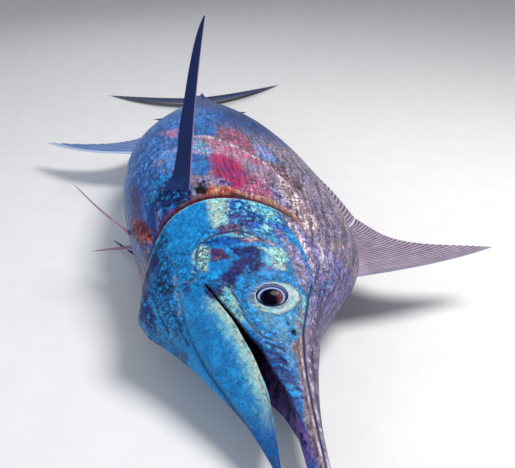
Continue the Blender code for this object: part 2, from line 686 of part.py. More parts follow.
def median_paths(outline, rays, side, rows, rake_share):
    """Paths of a fin in the mid-plane, from its table of base, height and rake."""
    heights = [(base, height) for base, height, rake in outline]
    rakes = [(base, rake) for base, height, rake in outline]
    edge = BACK if side > 0 else BELLY
    paths = []
    for base in spaced(outline[0][0], outline[-1][0], 2 * rays - 1):
        reach = follow(heights, base)
        rake = follow(rakes, base)
        foot = follow(edge, base)
        start = (base, foot - side * FIN_SINK)
        bend = (base + rake * rake_share, foot + side * reach * RAY_BULGE)
        end = (base + rake, foot + side * reach)
        paths.append([place(s, d, 0.0) for s, d in curve_path(start, bend, end, rows)])
    return paths


def make_median_fins(collection, trims):
    """The unpaired fins along the back and belly."""
    for name, plan in MEDIAN_FINS.items():
        outline, rays, side, rows, rake_share, bodies, finish, root, tip = plan
        paths = median_paths(outline, rays, side, rows, rake_share)
        fin = make_object(name, ray_fin(paths, (root, tip), FIN_RIDGE), collection, finish)
        for body in bodies:
            trim(fin, trims[body])


def pectoral_paths(side):
    """Paths of a pectoral's rays, side by side in a sabre-shaped blade from root to tip."""
    front, rear = [(station, height, side * (section(station, angle_at(station, height))[1]
                                             - PECTORAL_SINK))
                   for station, height in PECTORAL_ROOT]
    tip = PECTORAL_TIP[side]
    bend = between(front, tip, 0.5)
    bend[0] += PECTORAL_SWEEP
    bend[1] -= PECTORAL_LEAN[side]
    if side < 0:
        bend[2] = front[2] - PECTORAL_DROP
    paths = []
    for share in spaced(0.0, 1.0, 2 * PECTORAL_RAYS - 1):
        path = []
        for t in PECTORAL_ROW_SHARES:
            lead = curve_point(front, bend, tip, t)
            width = share * follow(PECTORAL_WIDTH, t)
            path.append(place(*[a + (r - f) * width for a, f, r in zip(lead, front, rear)]))
        paths.append(path)
    return paths


def make_pectorals(collection, trims):
    """The two rigid pectoral fins."""
    for name, side in (("pectoral_fin_right", 1), ("pectoral_fin_left", -1)):
        mesh = ray_fin(pectoral_paths(side), PECTORAL_THICKNESS, PECTORAL_RIDGE)
        trim(make_object(name, mesh, collection, "fin"), trims["front"])


def make_pelvics(collection, trims):
    """The two thin pelvic fins, each a few rays wide."""
    station, height, breadth = PELVIC_ROOT
    for name, side in (("pelvic_fin_right", 1), ("pelvic_fin_left", -1)):
        paths = []
        for share in spaced(0.0, 1.0, 2 * PELVIC_RAYS - 1):
            start = (station + PELVIC_CHORD * share, height + PELVIC_SINK, side * breadth)
            reach = [r * (1.0 - PELVIC_TAPER * share) for r in PELVIC_REACH[side]]
            end = (station + PELVIC_CHORD * PELVIC_TIP_CHORD * share + reach[0],
                   height + reach[1], side * breadth + reach[2])
            bend = between(start, end, 0.5)
            bend[1] -= PELVIC_BEND
            paths.append([place(*p) for p in curve_path(start, bend, end, PELVIC_ROWS)])
        mesh = ray_fin(paths, PELVIC_THICKNESS, PELVIC_RIDGE)
        trim(make_object(name, mesh, collection, "dorsal"), trims["front"])


def make_tail_lobe(name, side, collection):
    """One lobe of the tail, from the middle ray at the fork to the leading edge."""
    paths = []
    stalk = (TAIL_END, follow(BACK, TAIL_END))
    for share in spaced(0.0, 1.0, 2 * TAIL_RAYS - 1):
        start = between((TAIL_END, GAP_SHARE), stalk, share)
        tip = (follow(TAIL_MARGIN_STATION, share), follow(TAIL_MARGIN_HEIGHT, share))
        bend = between(between(start, tip, 0.5), TAIL_LEAD_BEND, share ** 2)
        paths.append([place(s, side * d, 0.0) for s, d in curve_path(start, bend, tip, TAIL_ROWS)])
    return make_object(name, ray_fin(paths, TAIL_THICKNESS, TAIL_RIDGE), collection, "tail")


def place_lens(made, side, station, height, radii, proud):
    """Put a lens on the head's surface, its axis square to the skin."""
    angle = angle_at(station, height)

    def on_skin(at_station, at_angle):
        skin_height, breadth = section(at_station, at_angle)
        return place(at_station, skin_height, side * breadth)

    behind = on_skin(station + LENS_STATION_STEP, angle)
    ahead = on_skin(station - LENS_STATION_STEP, angle)
    above = on_skin(station, angle - LENS_ANGLE_STEP)
    below = on_skin(station, angle + LENS_ANGLE_STEP)
    along = (behind - ahead).normalized()
    outward = ((above - below).cross(along) * side).normalized()
    across = outward.cross(along)
    centre = on_skin(station, angle) + outward * (proud - radii[2])
    for vertex in made.verts:
        local = vertex.co.copy()
        vertex.co = (centre + along * (local.x * radii[0]) + across * (local.y * radii[1])
                     + outward * (local.z * radii[2]))


def lens(side, station, height, radii, proud, segments, rings, swell=0.0):
    """A flattened ball set into the head's surface."""
    builder = bmesh.new()
    bmesh.ops.create_uvsphere(builder, u_segments=segments, v_segments=rings, radius=1.0)
    grown = [r + swell for r in radii]
    place_lens(builder, side, station, height, grown, proud + swell)
    return builder


def make_eyes(collection, cutters):
    """The eyes, the sockets that hold them and the nostrils ahead of them."""
    for name, side in (("eye_right", 1), ("eye_left", -1)):
        shape = (side, EYE_STATION, EYE_HEIGHT, EYE_RADII, EYE_PROUD, EYE_SEGMENTS, EYE_RINGS)
        make_object(name, lens(*shape), collection, "eye")
        hide(make_object("socket_" + name, lens(*shape, swell=GAP), cutters))
        for i, (station, height) in enumerate(NOSTRIL_PLACES):
            pit = lens(side, station, height, NOSTRIL_RADII, NOSTRIL_PROUD, NOSTRIL_SEGMENTS,
                       NOSTRIL_RINGS)
            hide(make_object(f"nostril_{name}_{i}", pit, cutters))


def main():
    """Clear the scene and build the fish."""
    for old in list(bpy.data.objects):
        bpy.data.objects.remove(old, do_unlink=True)
    fish = bpy.data.collections.new("black_marlin")
    head_cutters = bpy.data.collections.new("head_cutters")
    trim_cutters = bpy.data.collections.new("trim_cutters")
    for collection in (fish, head_cutters, trim_cutters):
        bpy.context.scene.collection.children.link(collection)
    make_bill(fish)
    make_head(fish, head_cutters)
    make_lower_jaw(fish)
    make_gill_cover("gill_cover_right", 1, fish)
    make_gill_cover("gill_cover_left", -1, fish)
    make_torso(fish)
    trims = body_cutters(trim_cutters)
    make_median_fins(fish, trims)
    make_pectorals(fish, trims)
    make_pelvics(fish, trims)
    make_tail_lobe("tail_lobe_upper", 1, fish)
    make_tail_lobe("tail_lobe_lower", -1, fish)
    make_eyes(fish, head_cutters)


main()
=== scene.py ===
"""The looks of a black marlin at life size, lying on its left side with its right fin up.

The fish is described along its own axis, as shares of the length from the lower jaw to
the fork of the tail. A station runs back from the tip of the lower jaw, a height runs
from belly to back and a breadth runs out of the right flank. The spine lays these out in
the world: bill towards -Y, back towards +X, right flank up, left flank on the floor.
"""

import logging
import math
from dataclasses import dataclass
from enum import Enum
from typing import Callable

import bmesh
import bpy
import numpy as np
from mathutils import Matrix, Vector, noise


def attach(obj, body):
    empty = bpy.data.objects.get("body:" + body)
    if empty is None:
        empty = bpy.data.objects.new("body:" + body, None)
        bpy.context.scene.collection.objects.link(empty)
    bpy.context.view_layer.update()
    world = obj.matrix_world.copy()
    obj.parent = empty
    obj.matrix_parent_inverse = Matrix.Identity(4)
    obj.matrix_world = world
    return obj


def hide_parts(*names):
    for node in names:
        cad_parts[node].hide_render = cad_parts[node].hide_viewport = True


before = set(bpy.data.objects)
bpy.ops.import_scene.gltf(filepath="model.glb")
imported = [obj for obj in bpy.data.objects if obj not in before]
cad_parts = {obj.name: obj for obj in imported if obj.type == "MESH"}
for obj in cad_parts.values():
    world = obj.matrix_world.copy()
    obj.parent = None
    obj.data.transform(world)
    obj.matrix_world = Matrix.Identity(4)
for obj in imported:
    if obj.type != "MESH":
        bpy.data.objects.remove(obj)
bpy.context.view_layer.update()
LOG = logging.getLogger("marlin")
PLACE_NAMES = ("station", "height", "breadth", "inside", "rim", "jaw")

Points = tuple[tuple[float, float], ...]
Colour = tuple[float, float, float]
Array = np.ndarray
Shape = Callable[[Array, Array], Array]
Mesh = bmesh.types.BMesh
Socket = bpy.types.NodeSocket
Material = bpy.types.Material
Numbers = dict[str, Array]
Inputs = dict[str | int, object]


def srgb(red: int, green: int, blue: int) -> Colour:
    """Turn a screen's colour, 0 to 255, into the linear one that a shader takes."""
    values = [v / 255.0 for v in (red, green, blue)]
    return tuple(v / 12.92 if v <= 0.04045 else ((v + 0.055) / 1.055) ** 2.4 for v in values)


def ease(values: Array, low: float, high: float) -> Array:
    """Rise smoothly from 0 where a value is at low to 1 where it is at high."""
    t = np.clip((values - low) / (high - low), 0.0, 1.0)
    return t * t * (3.0 - 2.0 * t)


def trace(*numbers: float) -> Points:
    """Read points from each one's station and height in turn, in thousandths of the length."""
    return tuple((s / 1000, h / 1000) for s, h in zip(numbers[::2], numbers[1::2]))


@dataclass(frozen=True)
class Curve:
    """A smooth curve through a few points, each a place and the level there."""

    points: Points

    def at(self, places: Array) -> Array:
        """Read the curve.

        Args:
            places: where to read it.

        Returns:
            The level at each place, held constant beyond the ends.
        """
        knots = np.array([p[0] for p in self.points])
        levels = np.array([p[1] for p in self.points])
        spans = np.diff(knots)
        rises = np.diff(levels) / spans
        inner = (spans[1:] * rises[:-1] + spans[:-1] * rises[1:]) / (spans[1:] + spans[:-1])
        slopes = np.concatenate([rises[:1], inner, rises[-1:]])
        inside = np.clip(places, knots[0], knots[-1])
        index = np.clip(np.searchsorted(knots, inside, side="right") - 1, 0, len(spans) - 1)
        span = spans[index]
        t = (inside - knots[index]) / span
        start = levels[index] * (1 + 2 * t) * (1 - t) ** 2 + span * slopes[index] * t * (1 - t) ** 2
        end = levels[index + 1] * t * t * (3 - 2 * t) + span * slopes[index + 1] * t * t * (t - 1)
        return start + end


def curve(*numbers: float) -> Curve:
    """Make a curve from each station and level in turn, in thousandths of the length."""
    return Curve(trace(*numbers))


@dataclass(frozen=True)
class Body:
    """The fish's outlines along its own axis, and the spine that lays it down."""

    length: float = 2.7
    origin: float = 0.32
    rest_height: float = 0.0765
    slope: Curve = Curve(((-0.2, 10.1), (0.15, 10.1), (0.20, 9.0), (0.25, 6.0), (0.30, 2.6),
                          (0.36, 0.0), (0.50, -4.5), (0.62, -7.0), (0.78, -7.0), (0.90, -7.0),
                          (1.15, -7.0)))
    back: Curve = curve(-150, 30.2, -130, 32.5, -70, 36.2, 0, 38.8, 40, 40.5, 71, 45, 105, 53, 137,
        64, 167, 88, 196, 111, 220, 122, 260, 127.5, 320, 125.5, 420, 113, 520, 96, 620, 78.5, 720,
        61, 820, 43, 900, 28.5, 950, 20.5, 1000, 18)
    belly: Curve = curve(0, -1.5, 13, -5, 27, -10, 46, -18, 69, -30.5, 91, -44.5, 118, -61.5, 139,
        -78, 157, -93, 178, -103.5, 207, -102, 256, -107.5, 300, -115, 360, -123, 420, -126, 500,
        -123, 620, -100, 720, -74, 820, -48.5, 900, -30, 950, -21.5, 1000, -18)
    half_width: Curve = curve(-150, 0.3, -130, 4.2, -70, 8.2, 0, 10.4, 30, 12.5, 60, 19, 90, 28.5,
        120, 39, 141, 47.5, 170, 56, 200, 64, 250, 74.5, 320, 79, 420, 77, 520, 70, 620, 58, 720,
        44, 820, 29, 900, 18.5, 950, 13, 1000, 4)
    widest: Curve = curve(-150, 30, 0, 30.2, 30, 29, 60, 23, 90, 14, 120, 4, 165, -6, 220, -11, 320,
        -14, 450, -13, 620, -8, 820, -2, 1000, 0)
    upper_fullness: Curve = Curve(((-0.150, 2.0), (0.09, 2.1), (0.141, 2.35), (0.18, 1.95),
                                   (0.24, 1.8), (0.34, 1.9), (0.5, 2.0), (1.0, 2.0)))
    lower_fullness: Curve = Curve(((-0.150, 2.0), (0.10, 1.9), (0.25, 2.0), (0.4, 2.1),
                                   (1.0, 2.0)))
    keel_start: float = 0.905
    keel_end: float = 0.972
    keel_rise: float = 0.0065
    keel_angles: tuple[float, float] = (70.0, 110.0)
    keel_spread: float = 9.0
    angle_step: float = 1.5

    def spine(self) -> tuple[Array, Array, Array, Array]:
        """Add up the spine's slope.

        Returns:
            Stations, and the distance back, the height and the slope at each.
        """
        stations = np.linspace(-0.2, 1.15, 1351)
        slopes = np.radians(self.slope.at(stations))
        middle = 0.5 * (slopes[1:] + slopes[:-1])
        step = stations[1] - stations[0]
        back = np.concatenate([[0.0], np.cumsum(np.cos(middle)) * step])
        rise = np.concatenate([[0.0], np.cumsum(np.sin(middle)) * step])
        back -= np.interp(self.origin, stations, back)
        rise += self.rest_height - np.interp(self.origin, stations, rise)
        return stations, back, rise, slopes

    def place(self, station: Array, height: Array, breadth: Array) -> Array:
        """Lay points of the fish in the world, never below the floor.

        Args:
            station: how far back each point is.
            height: how far towards the back of the fish.
            breadth: how far out of its right flank.

        Returns:
            The points in metres, one a row.
        """
        stations, back, rise, slopes = self.spine()
        slope = np.interp(station, stations, slopes)
        y = np.interp(station, stations, back) - breadth * np.sin(slope)
        z = np.interp(station, stations, rise) + breadth * np.cos(slope)
        x = height + 0.0 * y
        return self.length * np.stack([x, y, np.maximum(z, 0.0)], axis=-1)

    def section(self, station: Array, angle: Array) -> tuple[Array, Array]:
        """Read the outside of the body.

        Args:
            station: how far back to read it.
            angle: degrees round the body from the middle of the back.

        Returns:
            Height and breadth there.
        """
        cosine = np.cos(np.radians(angle))
        sine = np.sin(np.radians(angle))
        upper = cosine >= 0.0
        widest = self.widest.at(station)
        fullness = np.where(upper, self.upper_fullness.at(station), self.lower_fullness.at(station))
        reach = np.where(upper, self.back.at(station), self.belly.at(station)) - widest
        height = widest + reach * np.abs(cosine) ** (2.0 / fullness)
        breadth = self.half_width.at(station) * np.abs(sine) ** (2.0 / fullness)
        return height, np.sign(sine) * (breadth + self.keels(station, angle))

    def keels(self, station: Array, angle: Array) -> Array:
        """Read how far the keels of the tail stalk stand out.

        Args:
            station: how far back to read them.
            angle: degrees round the body.

        Returns:
            The rise at each place.
        """
        share = np.clip((station - self.keel_start) / (self.keel_end - self.keel_start), 0.0, 1.0)
        folded = np.where(angle <= 180.0, angle, 360.0 - angle)
        across = sum(np.exp(-((folded - a) / self.keel_spread) ** 2) for a in self.keel_angles)
        return self.keel_rise * np.sin(np.pi * share) * across

    def angle_at(self, station: Array, height: Array) -> Array:
        """Find the angle at which the right outline passes a height.

        Args:
            station: how far back to look.
            height: the height to find.

        Returns:
            The angle in degrees.
        """
        widest = self.widest.at(station)
        above = np.clip((height - widest) / (self.back.at(station) - widest), 0.0, 1.0)
        below = np.clip((widest - height) / (widest - self.belly.at(station)), 0.0, 1.0)
        upper = np.degrees(np.arccos(above ** (self.upper_fullness.at(station) / 2)))
        lower = 180.0 - np.degrees(np.arccos(below ** (self.lower_fullness.at(station) / 2)))
        return np.where(height >= widest, upper, lower)

    def raised(self, station: Array, angle: Array, rise: Array) -> tuple[Array, Array]:
        """Read the body's outside, moved outwards square to its outline.

        Args:
            station: how far back to read it.
            angle: degrees round the body.
            rise: how far to move outwards, as a share of the length.

        Returns:
            Height and breadth there.
        """
        height, breadth = self.section(station, angle)
        before = self.section(station, angle - self.angle_step)
        after = self.section(station, angle + self.angle_step)
        along = np.stack([after[0] - before[0], after[1] - before[1]])
        along = along / np.maximum(np.linalg.norm(along, axis=0), 1e-9)
        return height + along[1] * rise, breadth - along[0] * rise


BODY = Body()


def nearness(points: Points, station: Array, height: Array) -> Array:
    """Measure how near places are to a line.

    Args:
        points: the line's points.
        station: how far back each place is.
        height: how far up.

    Returns:
        The squares of the distances.
    """
    nearest = np.full(station.shape, 1e9)
    for (s0, h0), (s1, h1) in zip(points, points[1:]):
        run = max((s1 - s0) ** 2 + (h1 - h0) ** 2, 1e-15)
        t = np.clip(((station - s0) * (s1 - s0) + (height - h0) * (h1 - h0)) / run, 0.0, 1.0)
        away = (station - s0 - t * (s1 - s0)) ** 2 + (height - h0 - t * (h1 - h0)) ** 2
        nearest = np.minimum(nearest, away)
    return nearest


@dataclass(frozen=True)
class Stroke:
    """A soft line drawn on the flank, by station and height."""

    points: Points
    width: float

    def weight(self, station: Array, height: Array) -> Array:
        """Read how strong the line is: 1 on it, falling to 0 beyond its width."""
        return np.exp(-nearness(self.points, station, height) / self.width ** 2)


@dataclass(frozen=True)
class Patch:
    """A patch on the flank with a soft border, by station and height."""

    points: Points
    soft: float

    def weight(self, station: Array, height: Array) -> Array:
        """Read how much of the patch covers a place.

        Args:
            station: how far back to read it.
            height: how far up.

        Returns:
            1 well inside, 0 well outside.
        """
        inside = np.zeros(station.shape, dtype=bool)
        border = self.points + self.points[:1]
        for (s0, h0), (s1, h1) in zip(border, border[1:]):
            crosses = (h0 > height) != (h1 > height)
            level = 1e-9 if abs(h1 - h0) < 1e-9 else h1 - h0
            inside ^= crosses & (station < s0 + (height - h0) * (s1 - s0) / level)
        away = np.sqrt(nearness(border, station, height))
        return ease(np.where(inside, away, -away), -self.soft, self.soft)


class Slot(Enum):
    """The material slots of the record that the pieces take their finishes from."""

    BODY = "body_skin"
    HEAD = "head_skin"
    MEMBRANE = "dorsal_membrane"
    FIN = "fin_skin"
    EYE = "eye_glass"


class Side(Enum):
    """The two flanks, as the sign of their breadth."""

    RIGHT = 1.0
    LEFT = -1.0


class Graph:
    """A material's nodes, with short calls for those that the finishes share."""

    def __init__(self, name: str) -> None:
        """Start a material with one Principled shader.

        Args:
            name: the material's name.
        """
        self.material = bpy.data.materials.new(name)
        self.material.use_nodes = True
        self.tree = self.material.node_tree
        self.shader = self.tree.nodes["Principled BSDF"]

    def feed(self, socket: Socket, value: object) -> None:
        """Link a socket to another, or set its value.

        Args:
            socket: the input to feed.
            value: an output socket, a number or a colour.
        """
        if isinstance(value, Socket):
            self.tree.links.new(value, socket)
        elif socket.type == "RGBA":
            socket.default_value = (*value, 1.0)
        else:
            socket.default_value = value

    def supply(self, node: bpy.types.Node, inputs: Inputs) -> None:
        """Feed a node.

        Args:
            node: the node.
            inputs: what feeds its inputs, by name or number; those given as None are left.
        """
        for key, value in inputs.items():
            if value is not None:
                self.feed(node.inputs[key], value)

    def node(self, kind: str, inputs: Inputs, **settings: object) -> bpy.types.Node:
        """Add a node.

        Args:
            kind: the node's type.
            inputs: what feeds its inputs.
            settings: properties to set on it.

        Returns:
            The node.
        """
        made = self.tree.nodes.new(kind)
        for key, value in settings.items():
            setattr(made, key, value)
        self.supply(made, inputs)
        return made

    def attribute(self, name: str, output: str = "Fac") -> Socket:
        """Read one of the piece's own attributes, by name."""
        return self.node("ShaderNodeAttribute", {}, attribute_name=name).outputs[output]

    def place(self) -> Socket:
        """Read the place on the object, in metres."""
        return self.node("ShaderNodeTexCoord", {}).outputs["Object"]

    def stretch(self, vector: Socket, scale: Colour) -> Socket:
        """Scale a pattern's place along each axis."""
        return self.node("ShaderNodeMapping", {"Vector": vector, "Scale": scale}).outputs["Vector"]

    def noise(self, vector: Socket, scale: float, detail: float = 4.0, rough: float = 0.55,
              distortion: float = 0.0, dimensions: str = "3D") -> Socket:
        """Add cloudy noise, about 0.5 on average, in 3D or on the first two axes."""
        inputs = {"Vector": vector, "Scale": scale, "Detail": detail, "Roughness": rough,
                  "Distortion": distortion}
        return self.node("ShaderNodeTexNoise", inputs, noise_dimensions=dimensions).outputs["Fac"]

    def cells(self, vector: Socket, scale: float, feature: str = "F1",
              dimensions: str = "3D") -> Socket:
        """Add a pattern of so many cells to a unit, and read the distance in it."""
        return self.node("ShaderNodeTexVoronoi", {"Vector": vector, "Scale": scale},
                         feature=feature, voronoi_dimensions=dimensions).outputs["Distance"]

    def math(self, operation: str, first: object, second: object = 0.0) -> Socket:
        """Work out one or two values."""
        return self.node("ShaderNodeMath", {0: first, 1: second}, operation=operation).outputs[0]

    def times(self, first: object, second: object) -> Socket:
        """Multiply two values."""
        return self.math("MULTIPLY", first, second)

    def span(self, value: Socket, low: float, high: float, start: float = 0.0,
             end: float = 1.0) -> Socket:
        """Map the range from low to high smoothly to the one from start to end."""
        inputs = {"Value": value, "From Min": low, "From Max": high, "To Min": start, "To Max": end}
        return self.node("ShaderNodeMapRange", inputs, interpolation_type="SMOOTHSTEP").outputs[0]

    def mix(self, share: object, first: object, second: object, blend: str = "MIX") -> Socket:
        """Mix two colours, with as much of the second as the share says."""
        inputs = {0: share, 6: first, 7: second}
        return self.node("ShaderNodeMix", inputs, data_type="RGBA", blend_type=blend).outputs[2]

    def shade(self, share: object, colour: Socket, factor: float) -> Socket:
        """Darken or lighten a colour by a factor, as far as the share says."""
        return self.mix(share, colour, (factor, factor, factor), "MULTIPLY")

    def wander(self, vector: Socket, scale: float, reach: float) -> Socket:
        """Shift a pattern's place to and fro, so that its lines aren't straight."""
        shake = self.node("ShaderNodeTexNoise", {"Vector": vector, "Scale": scale})
        inputs = {0: shake.outputs["Color"], 1: (reach, reach, reach), 2: vector}
        return self.node("ShaderNodeVectorMath", inputs, operation="MULTIPLY_ADD").outputs[0]

    def bump(self, height: Socket, strength: float, depth: float,
             normal: Socket | None = None) -> Socket:
        """Turn a height into a bump so many metres deep, laid over another one if given."""
        inputs = {"Strength": strength, "Distance": depth, "Height": height, "Normal": normal}
        return self.node("ShaderNodeBump", inputs).outputs["Normal"]

    def finish(self, colour: Socket, rough: object, normal: Socket | None = None,
               coat: float = 0.0, coat_rough: float = 0.1, specular: float = 0.5) -> Material:
        """Feed the shader.

        Args:
            colour: the base colour.
            rough: the roughness.
            normal: the bump, if any.
            coat: how much wet film lies over it.
            coat_rough: how rough the film is.
            specular: how strongly the surface under the film shines.

        Returns:
            The material.
        """
        self.supply(self.shader, {"Base Color": colour, "Roughness": rough, "Normal": normal,
                                  "Coat Weight": coat, "Coat Roughness": coat_rough,
                                  "Specular IOR Level": specular})
        return self.material


def shaped_grid(builder: Mesh, across: int, along: int,
                shape: Shape) -> list[bmesh.types.BMVert]:
    """Add a flat grid and lay it over a shape.

    Args:
        builder: the mesh to add to.
        across: how many faces it has across.
        along: how many faces it has along.
        shape: turns the shares across and along of all its corners into their points.

    Returns:
        The grid's corners.
    """
    made = bmesh.ops.create_grid(builder, x_segments=across, y_segments=along, size=1.0)
    corners = made["verts"]
    u = np.array([c.co.x for c in corners]) * 0.5 + 0.5
    v = np.array([c.co.y for c in corners]) * 0.5 + 0.5
    for corner, point in zip(corners, shape(u, v).tolist()):
        corner.co = point
    return corners


def new_mesh(names: tuple[str, ...]) -> Mesh:
    """Start a mesh whose corners each keep some numbers.

    Args:
        names: the numbers' names.

    Returns:
        The mesh.
    """
    builder = bmesh.new()
    for name in names:
        builder.verts.layers.float.new(name)
    return builder


def keep(builder: Mesh, corners: list[bmesh.types.BMVert], values: Numbers) -> None:
    """Store numbers with a mesh's corners.

    Args:
        builder: the mesh.
        corners: the corners.
        values: a number for each corner, by name.
    """
    for key, numbers in values.items():
        layer = builder.verts.layers.float[key]
        for corner, number in zip(corners, numbers.tolist()):
            corner[layer] = number


def put(name: str, data: bpy.types.ID) -> bpy.types.Object:
    """Add an object to the scene.

    Args:
        name: its name.
        data: its mesh, light or camera.

    Returns:
        The object.
    """
    made = bpy.data.objects.new(name, data)
    bpy.context.scene.collection.objects.link(made)
    return made


def finished(name: str, builder: Mesh, material: Material,
             nodes: tuple[str, ...] = ()) -> bpy.types.Object:
    """Store a mesh as a piece of the fish.

    Args:
        name: the piece's name.
        builder: its mesh, which is freed.
        material: its finish.
        nodes: the nodes of the frame that it stands for.

    Returns:
        The piece.
    """
    mesh = bpy.data.meshes.new(name)
    builder.to_mesh(mesh)
    builder.free()
    piece = put(name, mesh)
    mesh.materials.append(material)
    mesh.shade_smooth()
    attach(piece, "root")
    if nodes:
        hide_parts(*nodes)
    LOG.info("%s: %d triangles", name, sum(len(p.vertices) - 2 for p in mesh.polygons))
    return piece


def close_up(builder: Mesh, distance: float = 1e-5) -> None:
    """Weld a mesh's seams, close its open ends and turn its faces outwards.

    Args:
        builder: the mesh.
        distance: how near two corners are to be welded.
    """
    bmesh.ops.remove_doubles(builder, verts=builder.verts, dist=distance)
    bmesh.ops.dissolve_degenerate(builder, edges=builder.edges, dist=1e-7)
    border = [e for e in builder.edges if e.is_boundary]
    bmesh.ops.holes_fill(builder, edges=border, sides=0)
    bmesh.ops.triangulate(builder, faces=[f for f in builder.faces if len(f.verts) > 4])
    bmesh.ops.recalc_face_normals(builder, faces=builder.faces)
    if builder.calc_volume(signed=True) < 0.0:
        bmesh.ops.reverse_faces(builder, faces=builder.faces)


def clouds(points: Array, scale: float, seed: float) -> Array:
    """Read cloudy noise between about -1 and 1 at points in metres; each seed differs."""
    shift = Vector((seed, -seed, 0.5 * seed))
    return np.array([noise.fractal(Vector(p) * scale + shift, 0.9, 2.0, 3)
                     for p in points.tolist()])


def store(mesh: bpy.types.Mesh, name: str, kind: str, key: str, values: Array) -> None:
    """Keep a number, a vector or a colour with each corner of a finished mesh."""
    made = mesh.attributes.new(name, kind, "POINT")
    made.data.foreach_set(key, values.astype(np.float32).ravel())


@dataclass(frozen=True)
class SkinTints:
    """The colours of the skin."""

    azure: Colour = srgb(20, 116, 184)
    clear_azure: Colour = srgb(26, 138, 208)
    sky: Colour = srgb(28, 148, 222)
    deep_azure: Colour = srgb(8, 72, 152)
    pale_sky: Colour = srgb(88, 174, 212)
    mint: Colour = srgb(146, 202, 202)
    cream: Colour = srgb(184, 200, 188)
    navy: Colour = srgb(8, 34, 100)
    indigo: Colour = srgb(42, 44, 106)
    maroon: Colour = srgb(68, 42, 96)
    plum: Colour = srgb(66, 54, 108)
    tan: Colour = srgb(146, 128, 138)
    brown: Colour = srgb(116, 80, 98)
    ochre: Colour = srgb(196, 142, 112)
    orange: Colour = srgb(178, 86, 72)
    rust: Colour = srgb(180, 142, 138)
    crimson: Colour = srgb(166, 38, 84)
    magenta: Colour = srgb(136, 40, 112)
    rose: Colour = srgb(176, 92, 130)
    pink: Colour = srgb(168, 128, 152)
    pale_pink: Colour = srgb(222, 200, 208)
    lilac: Colour = srgb(152, 144, 196)
    lilac_grey: Colour = srgb(124, 120, 150)
    taupe: Colour = srgb(112, 94, 96)
    soot: Colour = srgb(40, 32, 48)
    steel: Colour = srgb(14, 84, 172)
    silver: Colour = srgb(58, 132, 206)
    slate: Colour = srgb(34, 48, 92)
    flank_silver: Colour = srgb(140, 158, 190)
    dark_red: Colour = srgb(88, 14, 36)
    mauve: Colour = srgb(86, 74, 130)
    belly: Colour = srgb(188, 208, 230)
    palate: Colour = srgb(134, 100, 184)
    black: Colour = srgb(8, 5, 12)


TINTS = SkinTints()


def tones(names: str) -> tuple[Colour, Colour]:
    """Look up a marking's ground and mottle by their names."""
    ground, mottle = names.split()
    return getattr(TINTS, ground), getattr(TINTS, mottle)


@dataclass(frozen=True)
class Mark:
    """A marking of the skin: where it lies and the two tones that mingle in it."""

    area: Stroke | Patch
    names: str
    cover: float = 1.0
    crackle: float = 0.0


class Paint:
    """The tones of the skin's corners, laid on one marking after another."""

    def __init__(self, count: int) -> None:
        """Start with bare corners.

        Args:
            count: how many corners there are.
        """
        self.ground = np.zeros((count, 3))
        self.mottle = np.zeros((count, 3))
        self.crackle = np.zeros(count)

    def lay(self, share: Array, names: str, crackle: float = 0.0) -> None:
        """Lay two tones over what is there.

        Args:
            share: how much of them covers each corner.
            names: the main tone's name and that of the tone that mingles with it.
            crackle: how strongly fine dark lines cross them.
        """
        ground, mottle = tones(names)
        share = np.clip(share, 0.0, 1.0)
        self.ground += (np.array(ground) - self.ground) * share[:, None]
        self.mottle += (np.array(mottle) - self.mottle) * share[:, None]
        self.crackle += (crackle - self.crackle) * share

    def add(self, marks: tuple[Mark, ...], station: Array, height: Array, share: Array) -> None:
        """Lay a set of markings.

        Args:
            marks: the markings, in their order.
            station: each corner's station.
            height: each corner's height.
            share: how much of them shows at each corner.
        """
        for mark in marks:
            weight = mark.area.weight(station, height) * mark.cover
            self.lay(weight * share, mark.names, mark.crackle)


def patch(names: str, points: tuple[float, ...], soft: float = 2.5, cover: float = 1.0,
          crackle: float = 0.0) -> Mark:
    """Make a marking with an outline, and a border as soft as so many thousandths."""
    return Mark(Patch(trace(*points), soft / 1000), names, cover, crackle)


def stroke(names: str, points: tuple[float, ...], width: float, cover: float = 1.0,
           crackle: float = 0.0) -> Mark:
    """Make a marking along a line, as wide as so many thousandths."""
    return Mark(Stroke(trace(*points), width / 1000), names, cover, crackle)


THROAT_SEAM = trace(230, -80, 213.8, -75.6, 190.5, -67.2, 180.5, -65, 164.8, -64.9, 148.4, -62.9,
                    133.8, -60.4, 118.4, -54.6, 108.3, -50, 91.5, -41.9, 77.1, -33.8, 63.4, -26.7,
                    45, -17.2)
CHEEK_SEAM = trace(171.7, -60, 170.8, -55.9, 173.2, -50.7, 184.9, -47.5, 195.1, -46.6, 205.4, -42.8,
                   209, -34.9, 211.6, -24.1, 213.4, -5, 208.5, 8, 201, 18)
MAXILLA_SEAM = trace(165.5, -35, 164, -28.5, 155.2, -19.2, 141.5, -14.5, 126.4, -9.8, 116.9, -3.2,
                     110.1, 3.4, 106.5, 10.9)
EYE_OVAL = trace(144.7, -4.2, 153.2, 4.7, 157.9, 18.1, 156.1, 32.4, 149.4, 40.4, 142.4, 40.9, 133.2,
                 31.8, 127.9, 18.4, 131.6, 5, 138.4, -2.8, 144.7, -4.2)
SNOUT_GROOVE = trace(160, 56, 140, 47.5, 115.2, 38.8, 95.9, 35.9, 75.4, 34.3, 55.5, 33.9, 34.3,
                     34.1, 0, 34)
RIDGE = trace(399.1, -32.6, 393.1, -17.4, 377.2, -3.5, 356.1, 11.9, 342.1, 21, 332.8, 30.3, 317.9,
              40.6, 301.6, 47.5, 288, 54.3, 270.1, 61, 255.2, 66.5, 240, 72)
